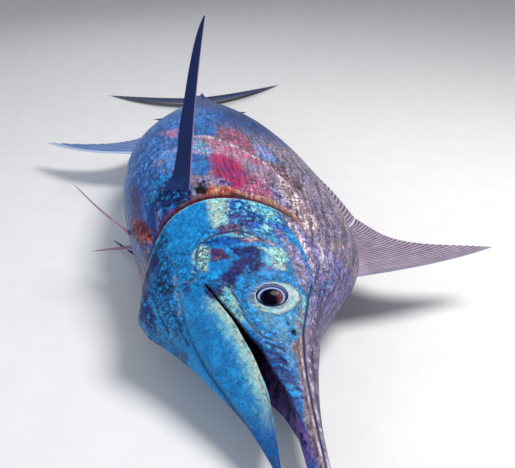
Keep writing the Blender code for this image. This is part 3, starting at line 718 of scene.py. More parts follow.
SNOUT_WRINKLES = (
    trace(105.5, 1, 101.6, 11.5, 96, 19.1),
    trace(97.8, 3.2, 95, 11.2, 89.5, 17.1),
    trace(93, 3, 91.5, 12, 86, 20),
    trace(88.1, 3.4, 88.2, 13.5, 82.6, 20.9),
    trace(84.5, 5, 84, 13, 80.5, 18),
    trace(81.4, 5.7, 81.5, 15.7, 76.1, 21.4),
    trace(78, 8, 77.5, 16, 73.5, 22),
    trace(74.8, 7.9, 73.3, 17.6, 69.6, 21.9),
    trace(66, 14, 65.5, 20.5, 64.5, 26.2),
    trace(58.5, 16.7, 58, 22.9, 57.3, 27.6))
SCRATCHES = (
    trace(325.9, -89.4, 327.5, -78.2, 327.6, -68.4, 330.6, -59.7),
    trace(338.9, -85.9, 341.4, -73.5, 351.9, -60),
    trace(360.4, -91.6, 373.8, -79.9, 385.8, -65.9, 391.2, -55.3),
    trace(386.8, -97.8, 407.2, -89.5, 414.3, -75),
    trace(348, -80, 356, -70, 366, -59))
THROAT_FOLDS = (
    trace(220, -84, 206, -85, 185, -80, 165, -76, 145, -69, 125, -60),
    trace(218, -93, 200, -92.5, 180, -90, 160, -85, 143, -77),
    trace(195, -98.5, 180, -96, 164, -92.5, 156, -89),
    trace(188, -102, 176, -100, 164, -96.5))
# Grooves of the head, each with its width and its depth
GROOVES = (
    (MAXILLA_SEAM, 0.0010, 0.00085),
    (CHEEK_SEAM, 0.0013, 0.00085),
    (THROAT_SEAM, 0.0013, 0.00055),
    (SNOUT_GROOVE, 0.0011, 0.00055),
    *((fold, 0.0014, 0.00065) for fold in THROAT_FOLDS),
    *((wrinkle, 0.0008, 0.00035) for wrinkle in SNOUT_WRINKLES))

TRUNK_MARKS: tuple[Mark, ...] = (
    patch("steel silver", (640, -110, 600, -20, 520, 10, 450, -5, 410, -20, 385, -36, 345, -45, 310,
          -50, 270, -58, 235, -74, 215, -88, 250, -104, 300, -116, 400, -128, 520, -126), 10, 0.95,
          0.25),
    patch("silver lilac", (370, -81, 379, -71, 383, -57, 354, -54, 327, -60, 331, -76, 344, -84), 6,
          0.9),
    patch("sky azure", (325, -89, 327, -83, 317, -68, 318, -60, 306, -66, 300, -71, 305, -81, 311,
          -85), 1.5),
    patch("rose lilac", (460, -74, 456, -62, 450, -48, 411, -50, 420, -63), 6, 0.85),
    patch("mauve indigo", (370, -112, 328, -100, 291, -96, 286, -106, 321, -111), 4, 0.9, 0.2),
    patch("dark_red orange", (305, -112, 280, -98, 253, -87, 238, -86, 245, -98, 268, -105, 290,
          -110), 3, 1.0, 0.3),
    patch("deep_azure indigo", (299, -93, 282, -79, 229, -81, 226, -85, 240, -87, 248, -88, 272,
          -93), 2.2, 0.95),
    patch("tan deep_azure", (257, -99, 242, -91, 225, -88, 220, -92, 248, -101), 2, 0.8, 0.4),
    patch("mauve steel", (274, -76, 264, -60, 254, -62, 240, -69, 230, -74, 230, -80, 238, -79), 3,
          0.95, 0.2),
    stroke("pink pink", (282, -79, 263, -79, 240, -80, 228, -82), 0.9, 0.8),
    patch("azure steel", (460, -34, 446, -12, 415, 1, 391, -4, 400, -20, 411, -34), 2.5),
    patch("lilac pale_sky", (390, -38, 370, -20, 342, -15, 338, -29, 354, -40), 3, 0.95, 0.5),
    patch("deep_azure azure", (352, -40, 340, -29, 334, -18, 320, -16, 307, -19, 295, -28, 300,
          -42), 1.5),
    patch("crimson magenta", (340, -20, 340, 0, 323, 11, 308, 21, 279, 22, 266, 11, 270, -12, 294,
          -21), 5),
    patch("pink rose", (392, -21, 360, 6, 345, 17, 331, 29, 305, 44, 304, 18, 329, 1, 348, -14), 4,
          1.0, 0.1),
    patch("lilac_grey pink", (324, 18, 312, 39, 290, 48, 285, 32, 290, 16, 308, 13), 5, 0.85),
    patch("rose pink", (290, 12, 288, 34, 270, 40, 251, 32, 258, 7), 5, 0.9, 0.55),
    patch("lilac mauve", (286, 38, 269, 46, 244, 55, 230, 60, 240, 50, 252, 43, 267, 36), 3, 0.9,
          0.3),
    patch("rose brown", (430, 0, 416, 23, 379, 33, 344, 35, 342, 19, 361, 10, 380, -4, 400, -8), 4,
          0.85, 0.3),
    patch("lilac silver", (393, 35, 362, 50, 332, 61, 320, 46, 342, 34), 4, 0.85),
    patch("tan brown", (330, 40, 324, 62, 300, 74, 278, 78, 275, 65, 293, 53, 307, 44), 4, 0.85,
          0.5),
    patch("pale_pink tan", (291, 48, 278, 60, 250, 74, 225, 79, 220, 64, 234, 57, 251, 52, 268, 47),
          4, 0.9, 0.6),
    Mark(Stroke(tuple((s - 0.0010, h + 0.0046) for s, h in RIDGE), 0.0013), "brown soot",
         0.75, 0.4),
    # Pale pink along the ridge: partly scraped skin, partly a painted highlight where the flank
    # turns to the back
    Mark(Stroke(RIDGE, 0.0026), "pale_pink pink", 0.92, 0.45),
    patch("orange ochre", (275, -30, 272, -7, 262, 9, 248, 6, 244, -10, 244, -40, 260, -40, 270,
          -34), 2, 1.0, 0.3),
    patch("crimson dark_red", (266, -6, 258, 8, 250, 2, 248, -10, 254, -13), 1.8, 0.95),
    patch("rust ochre", (262, 9, 257, 30, 248, 47, 233, 60, 220, 62, 225, 45, 238, 28, 244, 8), 2.5,
          0.95, 0.5),
    stroke("dark_red orange", (233, -74, 247, -62, 251, -55, 255, -46, 256, -35, 254, -20), 3.4,
           0.95, 0.3),
    patch("lilac plum", (294, -40, 291, -25, 287, -12, 276, -2, 272, -10, 278, -22, 282, -36), 2,
          0.85, 0.4),
    stroke("ochre rust", (262, -44, 257, -36, 260, -26, 270, -21, 284, -24), 1.6, 0.8, 0.4),
    patch("steel sky", (330, -82, 312, -66, 300, -58, 296, -64, 306, -76, 300, -88, 290, -94, 284,
          -86, 296, -80), 1.6, 0.9, 0.9),
    patch("navy azure", (306, -80, 297, -60, 281, -43, 268, -43, 259, -50, 263, -56, 256, -61, 266,
          -66, 259, -73, 270, -75, 266, -83, 280, -79, 286, -88, 294, -82), 1.2, 0.95, 0.9),
    # Painted shade: black in the pit at the root of the pectoral fin
    patch("black black", (282, -41, 284, -35, 280, -30, 271, -28, 266, -32, 270, -35, 271, -41),
          0.8, 1.0),
)

SNOUT_LINES: tuple[Mark, ...] = (
    stroke("pale_pink tan", (150, 50, 115, 36.5, 96, 33, 75, 32, 56, 32, 34, 32, -140, 32), 0.9,
           0.95, 0.1),
    stroke("soot brown", (130, 40, 115, 34.6, 96, 31, 75, 30.4, 56, 29.6, 34, 29.6, -140, 30), 0.7,
           0.95, 0.1),
    stroke("lilac_grey pale_pink", (140, 56, 115, 43, 96, 40, 75, 38, 56, 37, 34, 37, -130, 33),
           1.3, 0.7, 0.2),
    stroke("soot mauve", (160, 68, 135, 57, 115, 48, 96, 43, 75, 41, 34, 39), 0.9, 0.7, 0.3),
)

NAPE_MARKS: tuple[Mark, ...] = (
    patch("pale_pink tan", (233, 43, 225, 50, 200, 59, 180, 62, 170, 60, 190, 56, 210, 49, 225, 40),
          2, 0.85, 0.7),
    stroke("cream pale_pink", (230, 62, 215, 70, 195, 74, 180, 72), 1.6, 0.75, 0.5),
    stroke("pale_pink lilac", (225, 80, 205, 85, 185, 80, 170, 70), 2.2, 0.6, 0.5),
    stroke("indigo mauve", (233, 56, 215, 64, 195, 67, 175, 64, 155, 56), 1.2, 0.75, 0.4),
    stroke("mauve indigo", (228, 71, 210, 78, 190, 78, 170, 68), 1.4, 0.6, 0.4),
    patch("mauve silver", (210, 90, 190, 92, 165, 76, 145, 62, 140, 56, 160, 62, 185, 78), 4, 0.6,
          0.4),
)

PLATE_MARKS: tuple[Mark, ...] = (
    patch("indigo navy", (163, -43, 163, -32, 159, -24, 154, -25, 151, -28, 147, -29.5, 147, -33,
          150, -37, 156, -42), 0.9, 0.95, 0.6),
    patch("steel sky", (162.5, -39, 162, -31, 159, -32, 159, -38), 0.8, 0.8, 0.5),
    stroke("indigo navy", (149, -27.5, 145, -22, 143, -19.5), 0.7, 0.8),
    stroke("indigo plum", (146, -31, 140, -25, 128, -17, 118, -9.5), 0.6, 0.7),
    stroke("navy indigo", (141, -24, 137, -19, 133, -15), 0.6, 0.7),
)

HEAD_MARKS: tuple[Mark, ...] = (
    patch("clear_azure azure", (222, -79, 190, -68, 165, -66, 136, -62, 132, -74, 140, -90, 160,
          -110, 220, -112), 2.0, 0.9, 0.8),
    patch("sky clear_azure", (140, -62, 118, -55, 108, -50, 91, -42, 77, -34, 45, -17, 45, -30, 80,
          -60, 120, -80, 134, -76), 1.2, 0.95),
    patch("clear_azure azure", (232, -80, 250, -62, 260, -45, 262, -18, 248, -14, 228, -28, 216,
          -44, 208, -58, 212, -72), 4, 1.0, 0.1),
    patch("azure navy", (222, -98, 236, -82, 240, -74, 228, -72, 210, -72, 190, -70, 170, -68, 172,
          -80, 195, -92), 3, 0.7, 1.0),
    patch("mint cream", (262, -30, 260, -6, 240, -8, 223, -12, 218, -28, 229, -31, 246, -30), 3,
          0.9, 0.35),
    patch("steel pale_sky", (260, -8, 258, 18, 248, 38, 234, 42, 212, 42, 202, 36, 205, 16, 206, 0,
          214, -10, 232, -12), 3, 0.9, 1.0),
    patch("mauve steel", (236, -12, 236, 8, 224, 12, 210, 10, 208, -6, 220, -14), 3, 0.5, 0.9),
    patch("pale_sky mint", (252, 11, 250, 26, 242, 34, 227, 37, 223, 29, 231, 21, 236, 12), 2, 0.95,
          0.5),
    patch("mint pale_sky", (220, 19, 220, 26, 214, 26, 212, 21, 215, 18), 1.0, 0.95),
    patch("mint steel", (216, 0, 213, 7, 208, 16, 202, 14, 204, 5, 209, 0), 1.4, 0.9, 0.7),
    patch("brown plum", (222, -14, 219, -2, 213, -1, 208, -8, 211, -27, 216, -26, 219, -20), 1.6,
          0.85, 0.7),
    patch("lilac steel", (221, 28, 213, 38, 203, 42, 201, 34, 209, 28), 2, 0.85, 0.7),
    stroke("rust brown", (202, -2, 203, 6, 202, 18, 197, 29), 2.2, 0.95, 0.35),
    patch("mint cream", (188, -46, 200, -46, 204, -42, 199, -34, 189, -35, 177, -38, 176, -43), 1.8,
          0.95, 0.9),
    patch("steel deep_azure", (204, -40, 208, -30, 207, -5, 201, -3, 198, -12, 200, -30), 1.4, 0.9,
          0.6),
    stroke("mint pale_sky", (190, -50, 203, -44, 209, -36, 211, -26, 210, -14, 207, -4), 1.5, 0.9,
           0.3),
    patch("azure sky", (184, -36, 185, -28, 186, -18, 180, -15, 172, -25, 166, -29, 165, -34, 168,
          -38, 177, -37), 1.0, 0.95),
    patch("maroon brown", (197, -32, 196, -22, 187, -17, 184, -15, 185, -23, 183, -33), 0.9, 1.0,
          0.2),
    patch("indigo navy", (181, -16, 180, -10, 185, -4, 184, 0, 178, -1, 170, -6, 165, -11, 159, -14,
          153, -15, 156, -20, 161, -24, 167, -28, 172, -25, 175, -18), 1.0, 1.0, 0.5),
    patch("navy deep_azure", (196, -16, 196, 4, 194, 15, 188, 12, 176, 15, 170, 9, 168, 0, 157, -4,
          154, -8, 163, -2, 176, -1, 184, -1, 186, -8), 1.0, 1.0, 1.0),
    patch("sky sky", (165, -11, 166, -9, 161, -7.5, 155, -10, 153, -13, 158, -14), 0.5, 1.0),
    patch("mint cream", (194, 10, 193, 22, 194, 34, 184, 38, 170, 34, 171, 25, 176, 21, 187, 19),
          2.0, 0.95, 0.55),
    patch("pale_sky sky", (184, 11, 186, 20, 177, 22, 173, 15), 1.2, 0.9, 0.3),
    patch("mauve steel", (174, 15, 174, 22, 168, 22, 167, 16), 1.4, 0.8, 0.3),
    patch("tan lilac", (204, 36, 196, 50, 170, 56, 148, 50, 156, 43, 172, 42, 188, 38), 3, 0.85,
          0.5),
    patch("tan mint", (150, 42, 144, 48, 128, 44, 112, 37, 114, 31, 126, 34, 138, 40), 2, 0.8, 0.4),
    patch("mint pale_sky", (140, -6, 132, 2, 129, 18, 132, 32, 120, 33, 113, 24, 114, 10, 124, -2),
          4, 0.35),
    patch("steel mauve", (112, -6, 112, 12, 104, 22, 84, 25, 62, 27, 56, 26, 58, 18, 80, 6, 100,
          -2), 1.6, 0.6, 0.45),
    patch("pale_sky sky", (113, -3, 111, 10, 104, 13, 99, 3), 0.9, 0.7, 0.6),
    patch("pale_sky azure", (99, 12, 97, 24.5, 82, 24, 84, 14), 0.9, 0.8, 0.6),
    patch("pale_sky azure", (112, 14, 111, 24, 101, 25, 101, 16), 1.4, 0.7, 0.6),
    patch("sky pale_sky", (72, 13, 67, 24, 57, 24, 60, 16), 0.9, 1.0, 0.3),
    patch("sky pale_sky", (56, 15, 55, 23, 44, 24, 46, 17), 0.9, 1.0, 0.3),
    # Painted shade: near black in the two nostril pits
    patch("soot black", (116, 26.6, 109.6, 28.4, 111.8, 32.5, 117.3, 32.5), 0.9, 1.0),
    stroke("navy black", (122, 26.2, 118.4, 27.4), 1.0, 1.0),
    stroke("navy indigo", (105, 25, 109, 26.4), 1.2, 0.9),
    patch("indigo steel", (60, 13, 56, 25, 20, 26, -20, 30, -20, 24, 30, 20), 3, 0.75),
    patch("indigo azure", (169, -62, 172, -56, 169, -51, 162, -54, 161, -59), 2, 0.7),
    stroke("mint lilac", (198, -49, 185, -49, 176, -52), 1, 0.8),
    stroke("lilac pale_sky", (182, -67, 171, -67, 158, -66, 148, -65), 1.8, 0.7),
    patch("navy indigo", (220, -100, 220, -91, 217, -82, 210, -80, 206, -87, 203, -92, 195, -94,
          178, -93, 178, -98, 200, -102), 1.4, 0.95, 0.4),
    patch("indigo silver", (181, -99, 168, -89, 160, -87, 153, -88, 160, -97, 175, -106), 1.4, 0.9,
          0.7),
    patch("navy plum", (144, -73, 137, -67, 120, -62, 122, -67, 133, -74, 140, -77), 1.5, 0.9, 0.5),
    stroke("sky pale_sky", (172, -90, 155, -84, 145, -78, 134, -70, 127, -65), 3, 0.75),
)


@dataclass(frozen=True)
class SkinFinish:
    """The wet skin: flakes, squiggles, net, specks and embedded scales, each so many to a metre."""

    name: str = "wet_marlin_skin"
    flakes: float = 42.0
    clouds: float = 110.0
    squiggles: float = 62.0
    net: float = 85.0
    specks: float = 118.0
    streaks: Colour = (8.0, 95.0, 1.0)
    fibres: Colour = (26.0, 230.0, 1.0)
    scales: Colour = (85.0, 220.0, 1.0)
    net_tint: Colour = srgb(14, 16, 48)
    speck_tint: Colour = srgb(10, 22, 66)
    rough: tuple[float, float] = (0.30, 0.52)
    coat: float = 0.05
    coat_rough: float = 0.12
    specular: float = 0.12

    def make(self) -> Material:
        """Make the material from the markings kept with the skin's corners.

        Returns:
            The material.
        """
        g = Graph(self.name)
        place = g.place()
        lie = g.attribute("lie", "Vector")
        ground = g.attribute("ground", "Color")
        mottle = g.attribute("mottle", "Color")
        scaly = g.attribute("scaly")
        crackle = g.attribute("crackle")
        broad = g.noise(place, self.flakes, 9.0, 0.66)
        colour = g.mix(g.span(broad, 0.485, 0.54), ground, mottle)
        brink = g.span(g.math("ABSOLUTE", g.math("SUBTRACT", broad, 0.512)), 0.024, 0.006)
        brink = g.times(brink, g.span(crackle, 0.0, 0.8, 0.25, 0.85))
        colour = g.shade(brink, colour, 0.28)
        clouding = g.noise(place, self.clouds, 6.0, 0.72)
        strength = g.span(crackle, 0.0, 0.7, 0.30, 1.0)
        light = g.times(g.span(clouding, 0.52, 0.64), strength)
        colour = g.shade(light, colour, 2.1)
        dark = g.times(g.span(clouding, 0.48, 0.39), strength)
        colour = g.shade(dark, colour, 0.20)
        squiggle = g.noise(g.wander(place, 25.0, 0.03), self.squiggles, 3.0, 0.6)
        squiggle = g.span(g.math("ABSOLUTE", g.math("SUBTRACT", squiggle, 0.5)), 0.020, 0.007)
        broken = g.span(g.noise(place, 95.0, 2.0), 0.46, 0.54)
        squiggle = g.times(g.times(squiggle, broken),
                          g.span(crackle, 0.0, 0.6, 0.50, 0.95))
        colour = g.shade(squiggle, colour, 0.20)
        swayed = g.wander(lie, 7.0, 0.06)
        streaks = g.noise(g.stretch(swayed, self.streaks), 1.0, 4.0, 0.6, 0.0, "2D")
        fibres = g.noise(g.stretch(swayed, self.fibres), 1.0, 4.0, 0.6, 0.0, "2D")
        for grain, low, high in ((streaks, 0.55, 0.60), (fibres, 0.55, 0.66)):
            light_grain = g.times(g.span(grain, low, high, 0.0, 0.70), scaly)
            colour = g.shade(light_grain, colour, 1.5)
            dark_grain = g.times(g.span(grain, 1.0 - low, 1.0 - high, 0.0, 0.80), scaly)
            colour = g.shade(dark_grain, colour, 0.38)
        net = g.cells(g.wander(place, 30.0, 0.020), self.net, "DISTANCE_TO_EDGE")
        worn = g.span(g.noise(place, 38.0, 3.0), 0.42, 0.54)
        net = g.times(g.times(g.span(net, 0.17, 0.06), worn), crackle)
        colour = g.mix(net, colour, g.mix(0.80, colour, self.net_tint))
        dots = g.cells(g.wander(place, 160.0, 0.004), self.specks)
        dots = g.span(dots, 0.21, 0.12)
        sparse = g.span(g.noise(place, 34.0, 3.0), 0.40, 0.47)
        speck = g.times(g.times(dots, sparse), g.attribute("speck"))
        colour = g.mix(speck, colour, self.speck_tint)
        scales = g.cells(g.stretch(lie, self.scales), 1.0, "F1", "2D")
        gaps = g.times(g.span(scales, 0.42, 0.62, 0.0, 0.35), scaly)
        colour = g.shade(gaps, colour, 0.40)
        normal = g.bump(g.times(scales, scaly), 0.55, 0.0012)
        normal = g.bump(g.math("SUBTRACT", clouding, g.times(net, 0.6)), 0.55, 0.0022,
                        normal)
        normal = g.bump(broad, 0.30, 0.0030, normal)
        rough = g.span(clouding, 0.3, 0.7, *self.rough)
        return g.finish(colour, rough, normal, self.coat, self.coat_rough, self.specular)


@dataclass
class Skin:
    """The one skin from the bill to the tail, with the mouth and the gill slits in it."""

    name: str = "marlin_skin"
    hinge: float = 0.165
    tail_end: float = 0.976
    bill_tip: float = -0.1485
    bill_base: float = 0.03
    jaw_tip: float = 0.0035
    upper_columns: int = 66
    corner_columns: int = 3
    lower_columns: int = 40
    palate_columns: int = 18
    floor_columns: int = 16
    bill_rows: int = 60
    snout_rows: int = 108
    jaw_rows: int = 108
    cheek_rows: int = 74
    flank_rows: int = 168
    tail_rows: int = 7
    lip_thickness: float = 0.0014
    slit_depth: float = 0.0037
    slit_length: float = 0.030
    slit_top: tuple[float, float] = (50.0, 60.0)
    slit_foot: tuple[float, float] = (148.0, 157.0)
    slit_lining: float = 0.0012
    closing_length: float = 0.011
    closing_breadth: float = 0.12
    closing_drop: float = 0.10
    fold: Points = trace(0, 0, 0.6, 0.2, 0.8, 0.7, 0.2, 1.3, -4, 1.7, -7, 2.5, -4.5, 3.6, 1, 3.6,
                         6, 2.4)
    upper_lip: Curve = curve(-150, 30, -20, 30, 30, 24.5, 50, 19.2, 68, 14, 80, 8, 100, 0, 113,
        -8.5, 127, -17, 145, -28.8, 166, -41)
    palate: Curve = curve(-150, 29.8, -130, 27.5, -70, 24.4, 0, 21.6, 30, 20.5, 50, 20, 80, 17, 120,
        8, 166, -18)
    jaw_edge: Curve = curve(0, 0.5, 30, 1.2, 50, 1, 68, 0, 80, -3, 100, -8.8, 113, -14.2, 127,
        -20.2, 145, -31, 166, -42.6)
    mouth_floor: Curve = curve(0, -0.2, 30, -2, 70, -11, 120, -36, 166, -60)
    gill_rim: Curve = Curve(((0.0, 0.190), (35.0, 0.198), (52.0, 0.212), (62.0, 0.232),
                             (75.0, 0.247), (90.0, 0.2535), (112.0, 0.2535), (128.0, 0.246),
                             (142.0, 0.232), (158.0, 0.214), (180.0, 0.206)))
    nape_line: Curve = curve(-150, 29, 0, 26.5, 39.1, 25.2, 54.1, 26.6, 69.8, 28, 88, 27.6, 102.6,
        26.2, 112, 36, 122, 43.5, 144, 51, 164, 56, 182.5, 57.5, 200, 53.5, 216, 47, 240, 37)
    brow: Stroke = Stroke(trace(170, 43, 150, 44, 130, 40, 110, 34.5, 85, 32.5, 60, 31.5), 0.0030)
    brow_rise: float = 0.0006
    plate: Patch = Patch((*MAXILLA_SEAM, *trace(100, 1, 113, -8.5, 127, -17, 145, -28.8, 157, -36)),
                         0.0010)
    plate_rise: float = 0.0010
    knob: Patch = Patch(trace(181, -99, 170, -91.5, 160, -89, 155, -95, 164, -104, 176, -106),
                        0.0045)
    knob_rise: float = 0.0034
    nostrils: tuple[Colour, ...] = ((0.1200, 0.0267, 0.0011), (0.1135, 0.0300, 0.0016))
    nostril_radii: tuple[float, float] = (0.0020, 0.0016)
    ridge: Stroke = Stroke(RIDGE, 0.0030)
    ridge_rise: float = 0.0011
    scratch_width: float = 0.0014
    scratch_depth: float = 0.0005
    pit: Patch = Patch(trace(282, -41, 284, -35, 280, -30, 271, -28, 266, -32, 270, -41), 0.0024)
    pit_depth: float = 0.0040
    root: Stroke = Stroke(trace(270, -44, 280, -56, 292, -76), 0.0060)
    root_rise: float = 0.0022

    def hinge_angles(self) -> Array:
        """Find the columns' angles where the jaws part.

        Returns:
            The angles from the back to the belly.
        """
        here = np.array(self.hinge)
        lip = float(BODY.angle_at(here, self.upper_lip.at(here)))
        jaw = float(BODY.angle_at(here, self.jaw_edge.at(here)))
        return np.concatenate([np.linspace(0.0, lip, self.upper_columns + 1)[:-1],
                               np.linspace(lip, jaw, self.corner_columns + 1)[:-1],
                               np.linspace(jaw, 180.0, self.lower_columns + 1)])

    def relief(self, station: Array, height: Array) -> Array:
        """Read how far the plates, seams and pits of the head stand out.

        Args:
            station: how far back to read it.
            height: how far up.

        Returns:
            The rise as a share of the length.
        """
        rise = self.plate_rise * self.plate.weight(station, height)
        rise += self.brow_rise * self.brow.weight(station, height)
        rise += self.knob_rise * self.knob.weight(station, height)
        for points, width, depth in GROOVES:
            rise -= depth * Stroke(points, width).weight(station, height)
        long, tall = self.nostril_radii
        for s, h, depth in self.nostrils:
            rise -= depth * np.exp(-((station - s) / long) ** 2 - ((height - h) / tall) ** 2)
        return rise

    def trunk_relief(self, station: Array, height: Array) -> Array:
        """Read how far the ridge, the scratches and the fin's pit stand out behind the gills.

        Args:
            station: how far back to read it.
            height: how far up.

        Returns:
            The rise as a share of the length.
        """
        rise = self.ridge_rise * self.ridge.weight(station, height)
        for points in SCRATCHES:
            scratch = Stroke(points, self.scratch_width)
            rise -= self.scratch_depth * scratch.weight(station, height)
        rise -= self.pit_depth * self.pit.weight(station, height)
        return rise + self.root_rise * self.root.weight(station, height)

    def add_trunk(self, builder: Mesh) -> None:
        """Lay the skin from the hinge of the jaw to the end of the tail stalk.

        Args:
            builder: the mesh to add to.
        """
        half = self.upper_columns + self.corner_columns + self.lower_columns
        fold_s = np.array([p[0] for p in self.fold])
        fold_in = np.array([p[1] for p in self.fold])
        rows = self.cheek_rows + len(self.fold) + self.flank_rows + self.tail_rows
        at_hinge = self.hinge_angles()
        even = np.linspace(0.0, 180.0, half + 1)
        kept: Numbers = {}

        def shape(u: Array, v: Array) -> Array:
            """Place the corners.

            Args:
                u: shares round the body, down the right flank and up the left one.
                v: shares from the hinge of the jaw to the tail.

            Returns:
                The points in metres, one a row.
            """
            column = np.rint(u * 2 * half).astype(int)
            row = np.rint(v * rows).astype(int)
            side = np.where(column <= half, 1.0, -1.0)
            column = np.where(column <= half, column, 2 * half - column)
            spread = ease(row / self.cheek_rows, 0.0, 1.0)
            angle = at_hinge[column] * (1.0 - spread) + even[column] * spread
            rim = self.gill_rim.at(angle)
            free = ease(angle, *self.slit_top) * (1.0 - ease(angle, *self.slit_foot))
            cheek = self.hinge + (rim - self.hinge) * np.clip(row / self.cheek_rows, 0.0, 1.0)
            at_fold = np.clip(row - self.cheek_rows, 0, len(self.fold) - 1)
            plain = fold_s[-1] * at_fold / (len(self.fold) - 1)
            folded = rim + plain + (fold_s[at_fold] - plain) * free
            inset = fold_in[at_fold] * free
            share = np.clip((row - self.cheek_rows - len(self.fold) + 1) / self.flank_rows, 0, 1)
            start = rim + fold_s[-1]
            flank = start + (self.tail_end - start) * share * (0.50 + 0.50 * share)
            away = np.clip((flank - rim) / self.slit_length, 0.0, 1.0)
            dip = self.slit_depth * (1.0 - away) ** 2 * free
            in_flank = row >= self.cheek_rows + len(self.fold)
            in_fold = (row > self.cheek_rows) & ~in_flank
            station = np.where(in_flank, flank, np.where(in_fold, folded, cheek))
            inset = np.where(in_flank, dip, np.where(in_fold, inset, 0.0))
            tail = np.clip((row - rows + self.tail_rows) / self.tail_rows, 0.0, 1.0)
            height, breadth = BODY.section(station, angle)
            ahead = (station < rim + 1e-9) & ~in_flank
            rise = np.where(ahead, self.relief(station, height), 0.0)
            rise = np.where(in_flank, self.trunk_relief(station, height), rise) - inset
            height, breadth = BODY.raised(station, angle, rise)
            close = np.sqrt(np.maximum(1.0 - tail ** 2, 0.0))
            station = station + tail * self.closing_length
            breadth = breadth * (self.closing_breadth + (1.0 - self.closing_breadth) * close)
            height = height * (1.0 - self.closing_drop * tail)
            inside = np.clip(inset / self.slit_lining - 1.0, 0.0, 1.0) * free
            kept.update(station=station, height=height, breadth=side * breadth, inside=inside,
                        rim=rim, jaw=0.0 * u)
            return BODY.place(station, height, side * breadth)

        corners = shaped_grid(builder, 2 * half, rows, shape)
        keep(builder, corners, kept)

    def add_jaw(self, builder: Mesh, upper: bool) -> None:
        """Lay the skin of one jaw, with the mouth's lining on its inner side.

        Args:
            builder: the mesh to add to.
            upper: whether it is the upper jaw with the bill, or the lower one.
        """
        outer = self.upper_columns if upper else self.lower_columns
        lining = self.palate_columns if upper else self.floor_columns
        rows = self.bill_rows + self.snout_rows if upper else self.jaw_rows
        lip_curve = self.upper_lip if upper else self.jaw_edge
        arch_curve = self.palate if upper else self.mouth_floor
        total = 2 * outer + lining
        kept: Numbers = {}

        def shape(u: Array, v: Array) -> Array:
            """Place the corners.

            Args:
                u: shares round the jaw: its right side, its lining and its left side.
                v: shares from the tip to the hinge.

            Returns:
                The points in metres, one a row.
            """
            column = np.rint(u * total).astype(int)
            row = np.rint(v * rows)
            at_bill = np.clip(row / self.bill_rows, 0.0, 1.0) ** 1.15
            at_snout = np.clip((row - self.bill_rows) / self.snout_rows, 0.0, 1.0)
            station = np.where(row <= self.bill_rows,
                               self.bill_tip + (self.bill_base - self.bill_tip) * at_bill,
                               self.bill_base + (self.hinge - self.bill_base) * at_snout)
            if not upper:
                station = self.jaw_tip + (self.hinge - self.jaw_tip) * v ** 1.12
            lip = lip_curve.at(station)
            lip_angle = BODY.angle_at(station, lip)
            left = column >= outer + lining
            side = np.where(left, -1.0, 1.0)
            step = np.where(left, total - column, np.minimum(column, outer)) / outer
            start = 0.0 if upper else 180.0
            angle = start + (lip_angle - start) * step
            height, breadth = BODY.section(station, angle)
            height, breadth = BODY.raised(station, angle, self.relief(station, height))
            edge = BODY.section(station, lip_angle)[1]
            thickness = np.minimum(self.lip_thickness, 0.2 * edge)
            if upper:
                thickness = thickness * ease(station, -0.02, 0.04)
            turn = np.pi * np.clip((column - outer) / lining, 0.0, 1.0)
            inner = (edge - thickness) * np.cos(turn)
            arch = lip + (arch_curve.at(station) - lip) * np.sin(turn)
            within = (column > outer) & (column < outer + lining)
            height = np.where(within, arch, height)
            breadth = np.where(within, inner, side * breadth)
            inside = np.where(within, 1.0, 0.0)
            if upper:
                inside = inside * ease(station, -0.01, 0.03)
            kept.update(station=station, height=height, breadth=breadth, inside=inside,
                        rim=1.0 + 0.0 * u, jaw=(1.0 if upper else -1.0) + 0.0 * u)
            return BODY.place(station, height, breadth)

        corners = shaped_grid(builder, total, rows, shape)
        keep(builder, corners, kept)

    def paint(self, mesh: bpy.types.Mesh) -> None:
        """Work out the markings and keep them on the mesh for the material.

        Args:
            mesh: the finished mesh, with each corner's place on the fish.
        """
        count = len(mesh.vertices)
        read: Numbers = {}
        for key in PLACE_NAMES:
            read[key] = np.zeros(count, dtype=np.float32)
            mesh.attributes[key].data.foreach_get("value", read[key])
            mesh.attributes.remove(mesh.attributes[key])
        points = np.zeros(count * 3, dtype=np.float32)
        mesh.vertices.foreach_get("co", points)
        points = points.reshape(-1, 3)
        station, height = read["station"], read["height"]
        # Places that waver a little make the markings' borders ragged
        ragged = 0.0017 * clouds(points, 75.0, 5.0)
        s = station + 0.0014 * clouds(points, 16.0, 1.0) + ragged
        h = height + 0.0014 * clouds(points, 16.0, 9.0) - ragged
        head = np.where(station <= read["rim"] + 1e-6, 1.0, 0.0)
        read.update(s=s, h=h, head=head)
        coat = Paint(count)
        self.paint_trunk(coat, read)
        self.paint_head(coat, read)
        self.paint_openings(coat, read)
        nape = head * ease(h - self.nape_line.at(station), -0.0012, 0.0018)
        around = np.arctan2(read["height"] + 0.012, read["breadth"] + 1e-6)
        lie = np.stack([BODY.length * station, 0.26 * around, np.sign(read["breadth"])], axis=-1)
        for key, colours in (("ground", coat.ground), ("mottle", coat.mottle)):
            full = np.concatenate([colours, np.ones((count, 1))], axis=1)
            store(mesh, key, "FLOAT_COLOR", "color", full)
        store(mesh, "lie", "FLOAT_VECTOR", "vector", lie)
        scaly = 0.85 * (1.0 - head) + 0.75 * nape * ease(station, 0.06, 0.16)
        speck = 0.10 + 0.75 * head * (1.0 - nape)
        for key, values in (("crackle", coat.crackle), ("speck", speck), ("scaly", scaly)):
            store(mesh, key, "FLOAT", "value", values)

